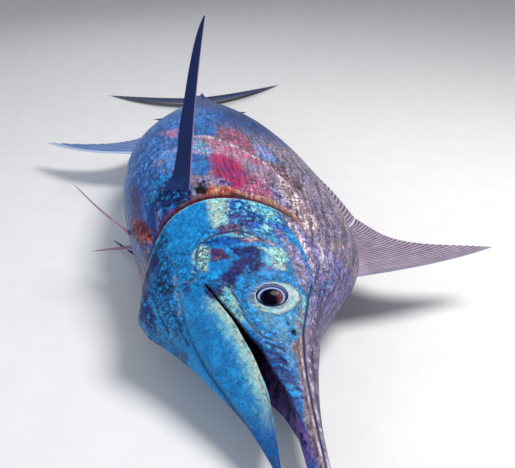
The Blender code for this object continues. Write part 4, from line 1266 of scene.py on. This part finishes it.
    def paint_trunk(self, coat: Paint, read: Numbers) -> None:
        """Colour the body behind the gills.

        Args:
            coat: the paint to lay on.
            read: the numbers kept for each corner.
        """
        s, h, trunk = read["s"], read["h"], 1.0 - read["head"]
        belly = BODY.belly.at(s)
        level = (h - belly) / np.maximum(BODY.back.at(s) - belly, 1e-3)
        coat.lay(trunk, "lilac_grey tan", 0.35)
        rear = trunk * ease(s, 0.36, 0.50)
        coat.lay(rear, "steel slate", 0.2)
        coat.lay(rear * (1.0 - ease(level, 0.16, 0.44)), "flank_silver silver", 0.1)
        coat.lay(rear * ease(level, 0.56, 0.74), "slate deep_azure", 0.2)
        coat.add(TRUNK_MARKS, s, h, trunk)
        scratch = sum(Stroke(points, 0.0011).weight(s, h) for points in SCRATCHES)
        coat.lay(0.8 * scratch * trunk, "deep_azure navy")
        under = trunk * (1.0 - ease(level, 0.010, 0.040)) * ease(s, 0.36, 0.46)
        coat.lay(under, "belly silver", 0.1)

    def paint_head(self, coat: Paint, read: Numbers) -> None:
        """Colour the head, the jaws and the nape.

        Args:
            coat: the paint to lay on.
            read: the numbers kept for each corner.
        """
        s, h, head = read["s"], read["h"], read["head"]
        station, height = read["station"], read["height"]
        upper = head * np.where(read["jaw"] > -0.5, 1.0, 0.0)
        lower = head * np.where(read["jaw"] < -0.5, 1.0, 0.0)
        coat.lay(head, "azure clear_azure", 0.4)
        coat.lay(lower, "azure clear_azure", 0.05)
        coat.add(HEAD_MARKS, s, h, head)
        below = self.jaw_edge.at(station) - h
        band = lower * (1.0 - ease(below, 0.004, 0.019)) * ease(station, 0.025, 0.080)
        band = band * (1.0 - ease(station, 0.140, 0.158))
        coat.lay(0.95 * band, "pale_sky mint", 0.1)
        edge = band * (1.0 - ease(below, 0.003, 0.011))
        coat.lay(0.9 * edge, "cream mint", 0.1)
        lip_line = lower * np.exp(-((below - 0.0012) / 0.0007) ** 2) * ease(station, 0.02, 0.05)
        coat.lay(0.7 * lip_line, "brown indigo")
        tip = lower * (1.0 - ease(station, 0.015, 0.080))
        coat.lay(0.75 * tip, "deep_azure indigo")
        lip = self.upper_lip.at(station)
        plate = upper * self.plate.weight(station, height) * ease(station, 0.118, 0.130)
        coat.lay(plate * (1.0 - ease(station, 0.154, 0.159)), "mint pale_sky", 0.4)
        coat.add(PLATE_MARKS, s, h, head)
        edge = upper * (1.0 - ease(h - lip, 0.0008, 0.0024)) * (1.0 - ease(station, 0.118, 0.13))
        coat.lay(0.85 * edge * ease(station, 0.02, 0.05), "navy indigo")
        nape = upper * ease(h - self.nape_line.at(station), -0.0012, 0.0018)
        snout = nape * (1.0 - ease(station, 0.115, 0.150))
        coat.lay(nape, "lilac lilac_grey", 0.40)
        coat.add(NAPE_MARKS, s, h, nape)
        coat.lay(snout, "taupe tan", 0.35)
        far = nape * ease(height - BODY.back.at(station), -0.020, -0.006)
        coat.lay(0.6 * far, "mauve lilac_grey", 0.3)
        for points, width, side_tones in ((MAXILLA_SEAM, 0.0012, "mint sky"),
                                         (CHEEK_SEAM, 0.0012, "mint sky"),
                                         (THROAT_SEAM, 0.0010, "pale_sky sky"),
                                         (EYE_OVAL, 0.0009, "cream sky"),
                                         (SNOUT_GROOVE, 0.0011, "pale_pink sky")):
            pale = Stroke(tuple((p[0], p[1] + 1.9 * width) for p in points), width)
            coat.lay(0.45 * head * pale.weight(s, h), side_tones, 0.3)
            line = head * Stroke(points, width).weight(station, height)
            coat.lay((0.7 if points is THROAT_SEAM else 1.15) * line, "navy soot")
        coat.add(SNOUT_LINES, station, height, upper * nape)
        folds = sum(Stroke(points, 0.0009).weight(s, h) for points in THROAT_FOLDS)
        wrinkles = sum(Stroke(points, 0.0010).weight(s, h) for points in SNOUT_WRINKLES)
        coat.lay(0.95 * head * (folds + upper * wrinkles), "indigo navy", 0.3)
        self.paint_lids(coat, read, upper)
        rim = head * np.exp(-((read["rim"] - station) / 0.0013) ** 2)
        rim = rim * (1.0 - nape) * np.where(read["jaw"] == 0.0, 1.0, 0.0)
        coat.lay(0.7 * rim, "mint pale_sky")

    def paint_lids(self, coat: Paint, read: Numbers, upper: Array) -> None:
        """Colour the skin round the eyes.

        Args:
            coat: the paint to lay on.
            read: the numbers kept for each corner.
            upper: how much each corner belongs to the upper head.
        """
        station, height = read["station"], read["height"]
        back = (station - EYE_PLACE.station) / EYE_PLACE.open_radii[0]
        up = (height - EYE_PLACE.height) / EYE_PLACE.open_radii[1]
        ring = np.hypot(back, up)
        oval = Patch(EYE_OVAL, 0.0008).weight(station, height) * upper
        coat.lay(0.9 * oval, "mint cream")
        coat.lay(0.75 * oval * ease(-up, 0.5, 1.0), "plum mint")
        lid = upper * np.exp(-((ring - 1.10) / 0.05) ** 2)
        coat.lay(0.9 * lid, "belly belly")
        coat.lay(upper * np.exp(-((ring - 0.99) / 0.06) ** 2), "navy soot")

    def paint_openings(self, coat: Paint, read: Numbers) -> None:
        """Colour the inside of the mouth and of the gill slits, with painted shade deep in the
        mouth.

        Args:
            coat: the paint to lay on.
            read: the numbers kept for each corner.
        """
        station, inside = read["station"], read["inside"]
        mouth = inside * np.where(station < self.hinge + 0.003, 1.0, 0.0)
        floor = mouth * np.where(read["jaw"] < -0.5, 1.0, 0.0)
        coat.lay(mouth, "palate indigo")
        # Painted shade: black deep in the mouth towards the hinge and over its floor, where light
        # doesn't reach
        coat.lay(mouth * ease(station, 0.105, 0.135), "black black")
        coat.lay(0.9 * floor, "black soot")
        slit = inside * np.where(station > self.hinge + 0.003, 1.0, 0.0)
        coat.lay(slit, "dark_red soot")

    def build(self) -> bpy.types.Object:
        """Make the skin.

        Returns:
            The piece.
        """
        builder = new_mesh(PLACE_NAMES)
        self.add_trunk(builder)
        self.add_jaw(builder, True)
        self.add_jaw(builder, False)
        close_up(builder, 2e-5)
        EYE_PLACE.sink_socket(builder)
        piece = finished(self.name, builder, SkinFinish().make(),
                         ("bill", "head", "lower_jaw", "gill_cover_right", "gill_cover_left",
                          "torso_front", "torso_rear", "tail_stalk"))
        self.paint(piece.data)
        return piece


@dataclass(frozen=True)
class EyePlace:
    """Where the eyes sit and how their sockets are let into the skin."""

    station: float = 0.1448
    height: float = 0.0160
    radii: Colour = (0.0378, 0.0508, 0.0260)
    proud: float = 0.0095
    open_radii: tuple[float, float] = (0.0109, 0.0146)
    step: float = 0.01
    angle_step: float = 4.0
    socket_depth: float = 0.0150
    rims: tuple[Colour, ...] = ((1.10, 0.08, 0.0024), (1.62, 0.10, 0.0014), (1.38, 0.10, -0.0016))

    def axes(self, side: Side) -> tuple[Array, Array, Array, Array]:
        """Find an eye's own axes.

        Args:
            side: which eye.

        Returns:
            The point on the skin, and the directions back, up and out.
        """
        angle = BODY.angle_at(np.array(self.station), np.array(self.height))

        def on_skin(station: float, at: float) -> Array:
            """Find the point on the skin at a station and an angle."""
            height, breadth = BODY.section(np.array(station), np.array(at))
            return BODY.place(np.array(station), height, side.value * breadth)

        back = on_skin(self.station + self.step, angle) - on_skin(self.station - self.step, angle)
        back = back / np.linalg.norm(back)
        rise = on_skin(self.station, angle - self.angle_step)
        rise = rise - on_skin(self.station, angle + self.angle_step)
        out = np.cross(rise, back) * side.value
        out = out / np.linalg.norm(out)
        return on_skin(self.station, angle), back, np.cross(out, back) * side.value, out

    def sink_socket(self, builder: Mesh) -> None:
        """Sink the skin under each eye and raise a rim round it.

        Args:
            builder: the skin's mesh.
        """
        points = np.array([v.co for v in builder.verts])
        moved = np.zeros(points.shape)
        for side in Side:
            centre, back, up, out = self.axes(side)
            local = points - centre
            x, y, z = local @ back, local @ up, local @ out
            near = (np.abs(z) < 0.05) & (np.hypot(x, y) < 0.09)
            ring = np.hypot(x / self.open_radii[0], y / self.open_radii[1]) / BODY.length
            rise = -self.socket_depth * (1.0 - ease(ring, 0.78, 1.0))
            for at, width, height in self.rims:
                rise += height * np.exp(-((ring - at) / width) ** 2)
            moved += np.where(near, rise, 0.0)[:, None] * out
        for vertex, shift in zip(builder.verts, moved):
            if shift.any():
                vertex.co += Vector(shift)


EYE_PLACE = EyePlace()


@dataclass(frozen=True)
class EyeFinish:
    """The wet eye: a purple-black pupil with a painted warm glint, a slate iris with a painted
    silver highlight arc.
    """

    name: str
    pupil: Colour = srgb(6, 3, 20)
    # Dark and light tone of the painted glint on one side of the pupil
    painted_glint: tuple[Colour, Colour] = (srgb(48, 20, 52), srgb(150, 98, 96))
    iris: tuple[Colour, Colour] = (srgb(20, 42, 92), srgb(48, 76, 128))
    # Silver of the painted highlight arc round the pupil
    arc: Colour = srgb(166, 180, 214)
    rim: Colour = srgb(190, 208, 222)

    def make(self) -> Material:
        """Make the material from the distances kept with the ball's corners.

        Returns:
            The material.
        """
        g = Graph(self.name)
        streaks = g.noise(g.place(), 420.0, 4.0, 0.6)
        wavy = g.times(g.math("SUBTRACT", streaks, 0.5), 0.10)
        pupil = g.math("ADD", g.attribute("pupil"), wavy)
        away = g.math("ADD", g.attribute("away"), g.times(wavy, 0.5))
        iris = g.mix(g.span(streaks, 0.35, 0.65), *self.iris)
        # Painted highlight: a silver arc in the iris round the pupil
        arc = g.times(g.span(pupil, 1.10, 1.18), g.span(pupil, 1.36, 1.24))
        iris = g.mix(arc, iris, self.arc)
        iris = g.mix(g.span(pupil, 1.50, 1.62), iris, srgb(98, 100, 150))
        colour = g.mix(g.span(pupil, 0.97, 1.05), self.pupil, iris)
        # Painted highlight: warm mottled glints on one side of the pupil
        painted_glint = g.times(g.span(g.attribute("brow"), 0.25, 0.85, 0.0, 0.85),
                      g.span(pupil, 1.16, 1.02))
        warm = g.mix(g.span(streaks, 0.44, 0.60), *self.painted_glint)
        colour = g.mix(painted_glint, colour, warm)
        colour = g.mix(g.span(away, 0.69, 0.73), colour, srgb(6, 8, 36))
        colour = g.mix(g.span(away, 0.77, 0.80), colour, self.rim)
        return g.finish(colour, g.span(streaks, 0.3, 0.7, 0.16, 0.24), None, 0.07, 0.03, 0.02)


@dataclass
class Eye:
    """One eye: a wet ball with a wide dark pupil that looks a little forward."""

    side: Side
    segments: int = 80
    rings: int = 48
    pupil_shift: tuple[float, float] = (-0.19, 0.08)
    pupil_radius: float = 0.50

    def ball(self) -> Mesh:
        """Shape the flattened ball and keep each corner's distances on it.

        Returns:
            The mesh.
        """
        centre, back, up, out = EYE_PLACE.axes(self.side)
        builder = new_mesh(("away", "pupil", "brow"))
        bmesh.ops.create_uvsphere(builder, u_segments=self.segments, v_segments=self.rings,
                                  radius=1.0)
        radii = EYE_PLACE.radii
        middle = centre + out * (EYE_PLACE.proud - radii[2])
        away, pupil, brow = (builder.verts.layers.float[k] for k in ("away", "pupil", "brow"))
        for vertex in builder.verts:
            x, y, z = vertex.co
            vertex[away] = math.hypot(x, y) if z > 0.0 else 1.0
            shifted = math.hypot(x - self.pupil_shift[0], y - self.pupil_shift[1])
            vertex[pupil] = shifted / self.pupil_radius if z > 0.0 else 2.0
            # How far each corner lies towards the side of the pupil that gets the painted glint
            vertex[brow] = (self.pupil_shift[1] - y) / self.pupil_radius
            x, y, z = x * radii[0], y * radii[1], z * radii[2]
            vertex.co = Vector(middle + back * x + up * y + out * z)
        bmesh.ops.recalc_face_normals(builder, faces=builder.faces)
        return builder

    def build(self) -> bpy.types.Object:
        """Make the eye.

        Returns:
            The piece.
        """
        name = "eye_" + self.side.name.lower()
        material = EyeFinish("wet_" + name).make()
        return finished(name + "_ball", self.ball(), material, (name,))


@dataclass
class Fin:
    """A fin of rays, as two sheets that meet along its edges."""

    name: str
    node: str
    slot: Slot
    material: Material
    thickness: tuple[float, float]
    across: int = 160
    along: int = 60
    rays: int = 16
    ridge: float = 0.0016
    notch: float = 0.0
    lead: float = 0.05
    hind: float = 0.04
    margin: float = 0.05
    least: float = 0.0002
    probe: float = 0.004

    def middle(self, u: Array, v: Array) -> Array:
        """Lay out the sheet midway between the two faces, by shares across and along."""
        raise NotImplementedError

    def ray(self, u: Array) -> Array:
        """Read how near a place is to a ray: 1 on one, 0 midway between two."""
        return 0.5 + 0.5 * np.cos(2.0 * np.pi * self.rays * u)

    def half(self, u: Array, v: Array) -> Array:
        """Read half the fin's thickness.

        Args:
            u: shares from the leading edge to the hind edge.
            v: shares from the root to the margin.

        Returns:
            The half thickness in metres.
        """
        plain = 0.5 * (self.thickness[0] + (self.thickness[1] - self.thickness[0]) * v)
        edge = np.sqrt(np.clip(u / self.lead, 0.0, 1.0))
        edge = edge * np.clip((1.0 - u) / self.hind, 0.0, 1.0)
        margin = np.clip((1.0 - v) / self.margin, 0.0, 1.0) ** 0.7
        ridge = 0.5 * self.ridge * (1.0 - 0.7 * v) * (self.ray(u) ** 1.5 - 0.5)
        return np.maximum(plain + ridge, self.least) * edge * margin

    def build(self) -> bpy.types.Object:
        """Make the fin.

        Returns:
            The piece.
        """
        builder = new_mesh(("across", "along"))
        for face in (1.0, -1.0):
            kept: Numbers = {}

            def shape(u: Array, v: Array) -> Array:
                """Place the corners of one face.

                Args:
                    u: shares from the leading edge to the hind edge.
                    v: shares from the root to the margin.

                Returns:
                    The points in metres, one a row.
                """
                ragged = v * (1.0 - self.notch * v ** 3 * (1.0 - self.ray(u)))
                here = self.middle(u, ragged)
                step = self.probe
                wide = self.middle(np.minimum(u + step, 1.0), ragged)
                wide = wide - self.middle(np.maximum(u - step, 0.0), ragged)
                deep = self.middle(u, np.minimum(ragged + step, 1.0))
                deep = deep - self.middle(u, np.maximum(ragged - step, 0.0))
                normal = np.cross(deep, wide)
                size = np.maximum(np.linalg.norm(normal, axis=1, keepdims=True), 1e-12)
                points = here + face * normal / size * self.half(u, v)[:, None]
                points[:, 2] = np.maximum(points[:, 2], 0.0)
                kept.update(across=u, along=v)
                return points

            corners = shaped_grid(builder, self.across, self.along, shape)
            keep(builder, corners, kept)
        close_up(builder)
        return finished(self.name, builder, self.material, (self.node,))


def curved(start: Array, bend: Array, end: Array, t: Array) -> Array:
    """Read a line that bends towards a point on its way, at shares along it."""
    return start * (1 - t) ** 2 + 2 * bend * t * (1 - t) + end * t * t


@dataclass
class MedianFin(Fin):
    """A fin in the mid-plane, on the back or under the belly."""

    bases: tuple[float, ...] = ()
    heights: tuple[float, ...] = ()
    rakes: tuple[float, ...] = ()
    on_back: bool = True
    rake_share: float = 0.2
    bulge: float = 0.6
    sink: float = 0.006

    def middle(self, u: Array, v: Array) -> Array:
        """Fan the rays along the back or the belly.

        Args:
            u: shares from the leading edge to the hind edge.
            v: shares from the root to the margin.

        Returns:
            The points in metres, one a row.
        """
        base = self.bases[0] + (self.bases[-1] - self.bases[0]) * u ** 1.4
        reach = Curve(tuple(zip(self.bases, self.heights))).at(base)
        rake = Curve(tuple(zip(self.bases, self.rakes))).at(base)
        sign = 1.0 if self.on_back else -1.0
        foot = (BODY.back if self.on_back else BODY.belly).at(base)
        station = curved(base, base + rake * self.rake_share, base + rake, v)
        height = curved(foot - sign * self.sink, foot + sign * reach * self.bulge,
                        foot + sign * reach, v)
        return BODY.place(station, height, 0.0 * u)


@dataclass
class Pectoral(Fin):
    """A stiff sabre-shaped pectoral fin."""

    side: Side = Side.RIGHT
    root: Points = ((0.2735, -0.0460), (0.2910, -0.0740))
    tip: Colour = (0.300, -0.0185, 0.237)
    width: Curve = Curve(((0.0, 1.12), (0.08, 0.90), (0.13, 0.68), (0.20, 0.57), (0.42, 0.48),
                          (0.56, 0.40), (0.78, 0.30), (0.90, 0.21), (0.97, 0.11), (1.0, 0.05)))
    sink: float = 0.006
    lean: float = 0.004
    sweep: float = 0.006
    drop: float = 0.006

    def middle(self, u: Array, v: Array) -> Array:
        """Lay the blade out from its slanting root to its tip.

        Args:
            u: shares from the leading edge to the hind edge.
            v: shares from the root to the tip.

        Returns:
            The points in metres, one a row.
        """
        ends = []
        for station, height in self.root:
            angle = BODY.angle_at(np.array(station), np.array(height))
            breadth = float(BODY.section(np.array(station), angle)[1]) - self.sink
            ends.append(np.array((station, height, self.side.value * breadth)))
        front, rear = ends
        tip = np.array(self.tip)
        bend = 0.5 * (front + tip)
        bend[0] += self.sweep
        bend[1] -= self.lean
        if self.side is Side.LEFT:
            bend[2] = front[2] - self.drop
        t = v[:, None]
        lead = curved(front, bend, tip, t)
        place = lead + (rear - front) * (u * self.width.at(v))[:, None]
        return BODY.place(place[:, 0], place[:, 1], place[:, 2])


@dataclass
class Pelvic(Fin):
    """A thin pelvic fin under the chest."""

    side: Side = Side.RIGHT
    reach: Colour = (0.058, -0.060, 0.046)
    root: Colour = (0.292, -0.1135, 0.0060)
    chord: float = 0.0085
    taper: float = 0.12
    tip_chord: float = 0.2
    bend: float = 0.006
    sink: float = 0.005

    def middle(self, u: Array, v: Array) -> Array:
        """Lay the few rays out from the root to the tip.

        Args:
            u: shares from the leading edge to the hind edge.
            v: shares from the root to the tip.

        Returns:
            The points in metres, one a row.
        """
        station, height, breadth = self.root
        breadth = breadth * self.side.value
        size = 1.0 - self.taper * u
        start = np.stack([station + self.chord * u, height + self.sink + 0 * u,
                          breadth + 0 * u])
        end = np.stack([station + self.chord * self.tip_chord * u + self.reach[0] * size,
                        height + self.reach[1] * size, breadth + self.reach[2] * size])
        bend = 0.5 * (start + end)
        bend[1] -= self.bend
        place = curved(start, bend, end, v)
        return BODY.place(place[0], place[1], place[2])


@dataclass
class TailLobe(Fin):
    """One lobe of the crescent tail."""

    upper: bool = True
    root_station: float = 0.966
    margin_station: Curve = curve(0, 1000, 250, 1008, 500, 1027, 750, 1059, 1000, 1098)
    margin_height: Curve = curve(0, 0, 250, 34, 500, 78, 750, 133, 1000, 196)
    lead_bend: tuple[float, float] = (0.985, 0.104)
    stalk_end: float = 0.976

    def middle(self, u: Array, v: Array) -> Array:
        """Fan the rays from the stalk to the hind margin.

        Args:
            u: shares from the leading edge to the middle of the fork.
            v: shares from the root to the margin.

        Returns:
            The points in metres, one a row.
        """
        share = 1.0 - u
        stalk = float(BODY.back.at(np.array(self.stalk_end)))
        start = (self.root_station + 0 * u, stalk * share)
        end = (self.margin_station.at(share), self.margin_height.at(share))
        pull = share ** 2
        bend = [0.5 * (a + b) * (1 - pull) + c * pull
                for a, b, c in zip(start, end, self.lead_bend)]
        station = curved(start[0], bend[0], end[0], v)
        height = curved(start[1], bend[1], end[1], v)
        return BODY.place(station, height * (1.0 if self.upper else -1.0), 0.0 * u)


@dataclass(frozen=True)
class FinFinish:
    """The skin of a fin: rays and the membrane between them, in two tones."""

    name: str
    ray: Colour
    membrane: Colour
    edge: Colour
    edge_width: float = 0.03
    rays: float = 16.0
    streak: float = 0.5
    foot: Colour = srgb(86, 84, 118)
    foot_reach: float = 0.10
    weave: float = 3.0
    rough: tuple[float, float] = (0.34, 0.58)

    def make(self) -> Material:
        """Make the material.

        Returns:
            The material.
        """
        g = Graph(self.name)
        across = g.attribute("across")
        along = g.attribute("along")
        place = g.place()
        lines = g.node("ShaderNodeCombineXYZ", {"X": g.times(across, self.rays * 7.0),
                                                "Y": g.times(along, self.weave)})
        fibre = g.noise(lines.outputs["Vector"], 1.0, 6.0, 0.65, 0.2)
        wave = g.math("COSINE", g.times(across, 2.0 * math.pi * self.rays))
        ray = g.span(g.math("ADD", wave, g.times(fibre, 1.6)), 0.2, 1.6)
        colour = g.mix(ray, self.membrane, self.ray)
        cloud = g.noise(place, 40.0, 7.0, 0.66, 0.2)
        colour = g.shade(g.span(cloud, 0.50, 0.66, 0.0, 0.45), colour, 1.5)
        colour = g.shade(g.span(cloud, 0.48, 0.34, 0.0, 0.45), colour, 0.5)
        dark = g.times(g.span(fibre, 0.48, 0.38), self.streak)
        colour = g.shade(dark, colour, 0.28)
        foot = g.math("ADD", along, g.times(g.math("SUBTRACT", fibre, 0.5), 0.25))
        foot = g.span(foot, self.foot_reach, 0.25 * self.foot_reach)
        colour = g.mix(foot, colour, g.mix(g.span(cloud, 0.42, 0.56), self.foot,
                                           g.shade(1.0, colour, 1.6)))
        colour = g.mix(g.span(across, self.edge_width, 0.3 * self.edge_width), colour, self.edge)
        normal = g.bump(fibre, 0.6, 0.0014)
        normal = g.bump(g.noise(place, 240.0, 4.0), 0.25, 0.0008, normal)
        rough = g.span(cloud, 0.3, 0.7, self.rough[0], self.rough[1])
        return g.finish(colour, rough, normal, 0.10, 0.2, 0.25)


@dataclass
class Fins:
    """All the fins, each in place of its own node."""

    def finishes(self) -> dict[str, Material]:
        """Make the fins' finishes.

        Returns:
            The materials by name.
        """
        return {
            "sabre": FinFinish("dark_slate_fin", srgb(18, 50, 122), srgb(6, 24, 80),
                               srgb(150, 130, 164), 0.05, 9.0, 0.7, srgb(26, 84, 148), 0.16,
                               9.0).make(),
            "dorsal": FinFinish("lilac_dorsal_membrane", srgb(166, 152, 170), srgb(98, 84, 108),
                                srgb(148, 160, 206), 0.025, 32.0, 0.7, srgb(150, 140, 170), 0.12,
                                2.0).make(),
            "anal": FinFinish("pale_blue_fin", srgb(112, 142, 196), srgb(66, 96, 160),
                              srgb(170, 190, 226), 0.12, 22.0, 0.5, srgb(60, 90, 150)).make(),
            "pelvic": FinFinish("taupe_pelvic_fin", srgb(168, 138, 160), srgb(110, 86, 112),
                                srgb(190, 160, 178), 0.10, 4.0, 0.5).make(),
            "tail": FinFinish("slate_tail_fin", srgb(42, 54, 98), srgb(22, 30, 62),
                              srgb(70, 84, 126), 0.04, 30.0, 0.6, srgb(36, 50, 96)).make(),
        }

    def build(self) -> None:
        """Make every fin."""
        looks = self.finishes()
        membrane, fin = Slot.MEMBRANE, Slot.FIN
        pieces: list[Fin] = [
            MedianFin("dorsal_lobe", "dorsal_fin_lobe", membrane, looks["dorsal"],
                      (0.007, 0.0016), 300, 90, 32, 0.0016, 0.02, rake_share=0.18,
                      bases=(0.204, 0.209, 0.215, 0.222, 0.230, 0.240, 0.252, 0.268, 0.285),
                      heights=(0.160, 0.146, 0.123, 0.097, 0.073, 0.053, 0.038, 0.026, 0.015),
                      rakes=(0.025, 0.023, 0.0215, 0.0195, 0.0175, 0.016, 0.0155, 0.017, 0.022)),
            MedianFin("dorsal_ribbon", "dorsal_fin_rear", membrane, looks["dorsal"],
                      (0.006, 0.0016), 420, 16, 34, 0.0020, 0.06, lead=0.004, rake_share=0.35,
                      bases=(0.2858, 0.33, 0.50, 0.62, 0.71),
                      heights=(0.0148, 0.0125, 0.0115, 0.0095, 0.0060),
                      rakes=(0.0222, 0.026, 0.026, 0.022, 0.016)),
            MedianFin("anal_sickle", "anal_fin_first", fin, looks["anal"],
                      (0.008, 0.0016), 160, 80, 16, 0.0020, 0.03, on_back=False, rake_share=0.10,
                      bases=(0.585, 0.592, 0.602, 0.616, 0.635, 0.665, 0.720),
                      heights=(0.160, 0.130, 0.095, 0.063, 0.038, 0.020, 0.010),
                      rakes=(0.112, 0.089, 0.064, 0.043, 0.030, 0.022, 0.016)),
        ]
        for name, node, on_back, base in (("dorsal_second", "dorsal_fin_second", True, 0.80),
                                          ("anal_second", "anal_fin_second", False, 0.79)):
            pieces.append(MedianFin(name, node, fin, looks["tail"], (0.005, 0.0014), 100, 36, 7,
                                    0.0016, 0.04, on_back=on_back,
                                    bases=tuple(base + b for b in (0, 0.008, 0.02, 0.035, 0.05)),
                                    heights=(0.038, 0.028, 0.018, 0.011, 0.007),
                                    rakes=(0.026, 0.022, 0.018, 0.018, 0.034)))
        pieces += [
            Pectoral("pectoral_right", "pectoral_fin_right", fin, looks["sabre"],
                     (0.016, 0.003), 120, 150, 9, 0.0020, lead=0.16),
            Pectoral("pectoral_left", "pectoral_fin_left", fin, looks["sabre"],
                     (0.016, 0.003), 90, 100, 9, 0.0020, lead=0.16, side=Side.LEFT,
                     tip=(0.4300, -0.1480, -0.0700), lean=0.0)]
        for side, reach in ((Side.RIGHT, (0.058, -0.060, 0.046)),
                            (Side.LEFT, (0.066, -0.056, -0.038))):
            word = side.name.lower()
            pieces.append(Pelvic("pelvic_" + word, "pelvic_fin_" + word, membrane,
                                 looks["pelvic"], (0.006, 0.0016), 40, 90, 4, 0.0010, lead=0.2,
                                 side=side, reach=reach))
        for word in ("upper", "lower"):
            pieces.append(TailLobe("tail_" + word, "tail_lobe_" + word, fin, looks["tail"],
                                   (0.018, 0.0022), 170, 90, 18, 0.0026, 0.02,
                                   upper=word == "upper"))
        for piece in pieces:
            piece.build()


@dataclass(frozen=True)
class ToothFinish:
    """Stained teeth."""

    name: str = "small_pale_teeth"
    clean: Colour = srgb(150, 140, 138)
    stained: Colour = srgb(84, 78, 96)

    def make(self) -> Material:
        """Make the material.

        Returns:
            The material.
        """
        g = Graph(self.name)
        stain = g.noise(g.place(), 160.0, 3.0)
        colour = g.mix(g.span(stain, 0.35, 0.65), self.clean, self.stained)
        return g.finish(colour, g.span(stain, 0.3, 0.7, 0.25, 0.45))


@dataclass
class Teeth:
    """The fine file-like teeth along both jaws."""

    skin: Skin
    start: float = 0.012
    end: float = 0.158
    spacing: float = 0.0011
    radius: float = 0.0008
    length: float = 0.0019
    insets: tuple[float, float] = (0.00035, 0.00095)
    stagger: float = 0.4
    unevenness: float = 0.3
    root_depth: float = 0.0002
    lift: float = 0.0010
    sizes: tuple[float, float] = (0.55, 0.6)

    def build(self) -> bpy.types.Object:
        """Make the teeth as small cones rooted in the lips.

        Returns:
            The piece.
        """
        builder = bmesh.new()
        for edge, sign in ((self.skin.upper_lip, -1.0), (self.skin.jaw_edge, 1.0)):
            for side in Side:
                for row, inward in enumerate(self.insets):
                    start = self.start + self.stagger * row * self.spacing
                    stations = np.arange(start, self.end, self.spacing)
                    uneven = np.sin(37.0 * np.arange(len(stations)))
                    stations = stations + self.unevenness * self.spacing * uneven
                    level = edge.at(stations)
                    breadth = BODY.section(stations, BODY.angle_at(stations, level))[1]
                    inner = np.maximum(breadth - inward, 0.2 * breadth)
                    inner = side.value * inner
                    roots = BODY.place(stations, level - sign * self.root_depth, inner)
                    tips = BODY.place(stations, level + sign * self.lift, inner)
                    for index, (root, tip) in enumerate(zip(roots, tips)):
                        size = self.sizes[0] + self.sizes[1] * math.sin(index * 2.4) ** 2
                        lean = Vector(tip) - Vector(root)
                        self.add_tooth(builder, Vector(root), lean, size)
        return finished("jaw_teeth", builder, ToothFinish().make())

    def add_tooth(self, builder: Mesh, root: Vector, lean: Vector, size: float) -> None:
        """Add one tooth.

        Args:
            builder: the mesh to add to.
            root: where it stands.
            lean: which way it points.
            size: how large it is.
        """
        turn = lean.to_track_quat("Z", "Y").to_matrix().to_4x4()
        shift = Matrix.Translation(root + lean.normalized() * 0.5 * self.length * size)
        bmesh.ops.create_cone(builder, cap_ends=True, segments=5, radius1=self.radius * size,
                              radius2=0.00008, depth=self.length * size, matrix=shift @ turn)


@dataclass(frozen=True)
class Studio:
    """The plain floor, the soft light and the camera."""

    floor_size: float = 30.0
    eye: Colour = (-0.14935, -1.64685, 1.13413)
    yaw: float = 7.9238
    pitch: float = -30.3861
    roll: float = -1.2129
    view_angle: float = 45.8824

    def floor(self) -> None:
        """Lay the floor."""
        builder = bmesh.new()
        bmesh.ops.create_grid(builder, x_segments=8, y_segments=8, size=self.floor_size)
        mesh = bpy.data.meshes.new("studio_floor")
        builder.to_mesh(mesh)
        builder.free()
        floor = put("studio_floor", mesh)
        g = Graph("pale_floor")
        grain = g.noise(g.place(), 9.0, 3.0)
        colour = g.mix(grain, srgb(222, 222, 224), srgb(232, 232, 234))
        mesh.materials.append(g.finish(colour, 0.7))

    def light(self, name: str, place: Colour, size: float, power: float, tint: Colour) -> None:
        """Hang one soft light that faces the fish.

        Args:
            name: the light's name.
            place: where it hangs.
            size: how wide it is.
            power: its power in watts.
            tint: its colour.
        """
        data = bpy.data.lights.new(name, "AREA")
        data.shape = "DISK"
        data.size = size
        data.energy = power
        data.color = tint
        lamp = put(name, data)
        lamp.location = place
        aim = Vector((0.0, -0.3, 0.2)) - Vector(place)
        lamp.rotation_euler = aim.to_track_quat("-Z", "Y").to_euler()

    def lights(self) -> None:
        """Hang the lights and set the pale surroundings."""
        self.light("key", (1.5, -0.4, 3.4), 1.5, 134.0, (1.0, 0.97, 0.94))
        self.light("fill", (-3.2, -1.2, 2.2), 2.6, 33.0, (0.82, 0.93, 1.0))
        self.light("rim", (-0.6, 3.6, 2.6), 2.2, 18.0, (1.0, 1.0, 1.0))
        world = bpy.data.worlds.new("studio")
        world.use_nodes = True
        backdrop = world.node_tree.nodes["Background"]
        backdrop.inputs["Color"].default_value = (0.86, 0.90, 0.96, 1.0)
        backdrop.inputs["Strength"].default_value = 0.34
        bpy.context.scene.world = world
        bpy.context.scene.view_settings.view_transform = "Standard"

    def camera(self) -> None:
        """Set the camera at the photograph's viewing angle."""
        yaw, pitch, roll = (math.radians(a) for a in (self.yaw, self.pitch, self.roll))
        ahead = Vector((math.sin(yaw) * math.cos(pitch), math.cos(yaw) * math.cos(pitch),
                        math.sin(pitch)))
        level = Vector((math.cos(yaw), -math.sin(yaw), 0.0))
        upright = level.cross(ahead)
        right = level * math.cos(roll) + upright * math.sin(roll)
        up = upright * math.cos(roll) - level * math.sin(roll)
        data = bpy.data.cameras.new("camera")
        data.sensor_fit = "HORIZONTAL"
        data.angle = math.radians(self.view_angle)
        camera = put("camera", data)
        turned = Matrix((right, up, -ahead)).transposed().to_4x4()
        turned.translation = Vector(self.eye)
        camera.matrix_world = turned
        bpy.context.scene.camera = camera

    def build(self) -> None:
        """Set up the studio."""
        self.floor()
        self.lights()
        self.camera()


def main() -> None:
    """Build the fish and its studio."""
    logging.basicConfig(level=logging.INFO, format="%(message)s")
    Studio().build()
    skin = Skin()
    skin.build()
    Teeth(skin).build()
    for side in Side:
        Eye(side).build()
    Fins().build()


if __name__ == "__main__":
    main()
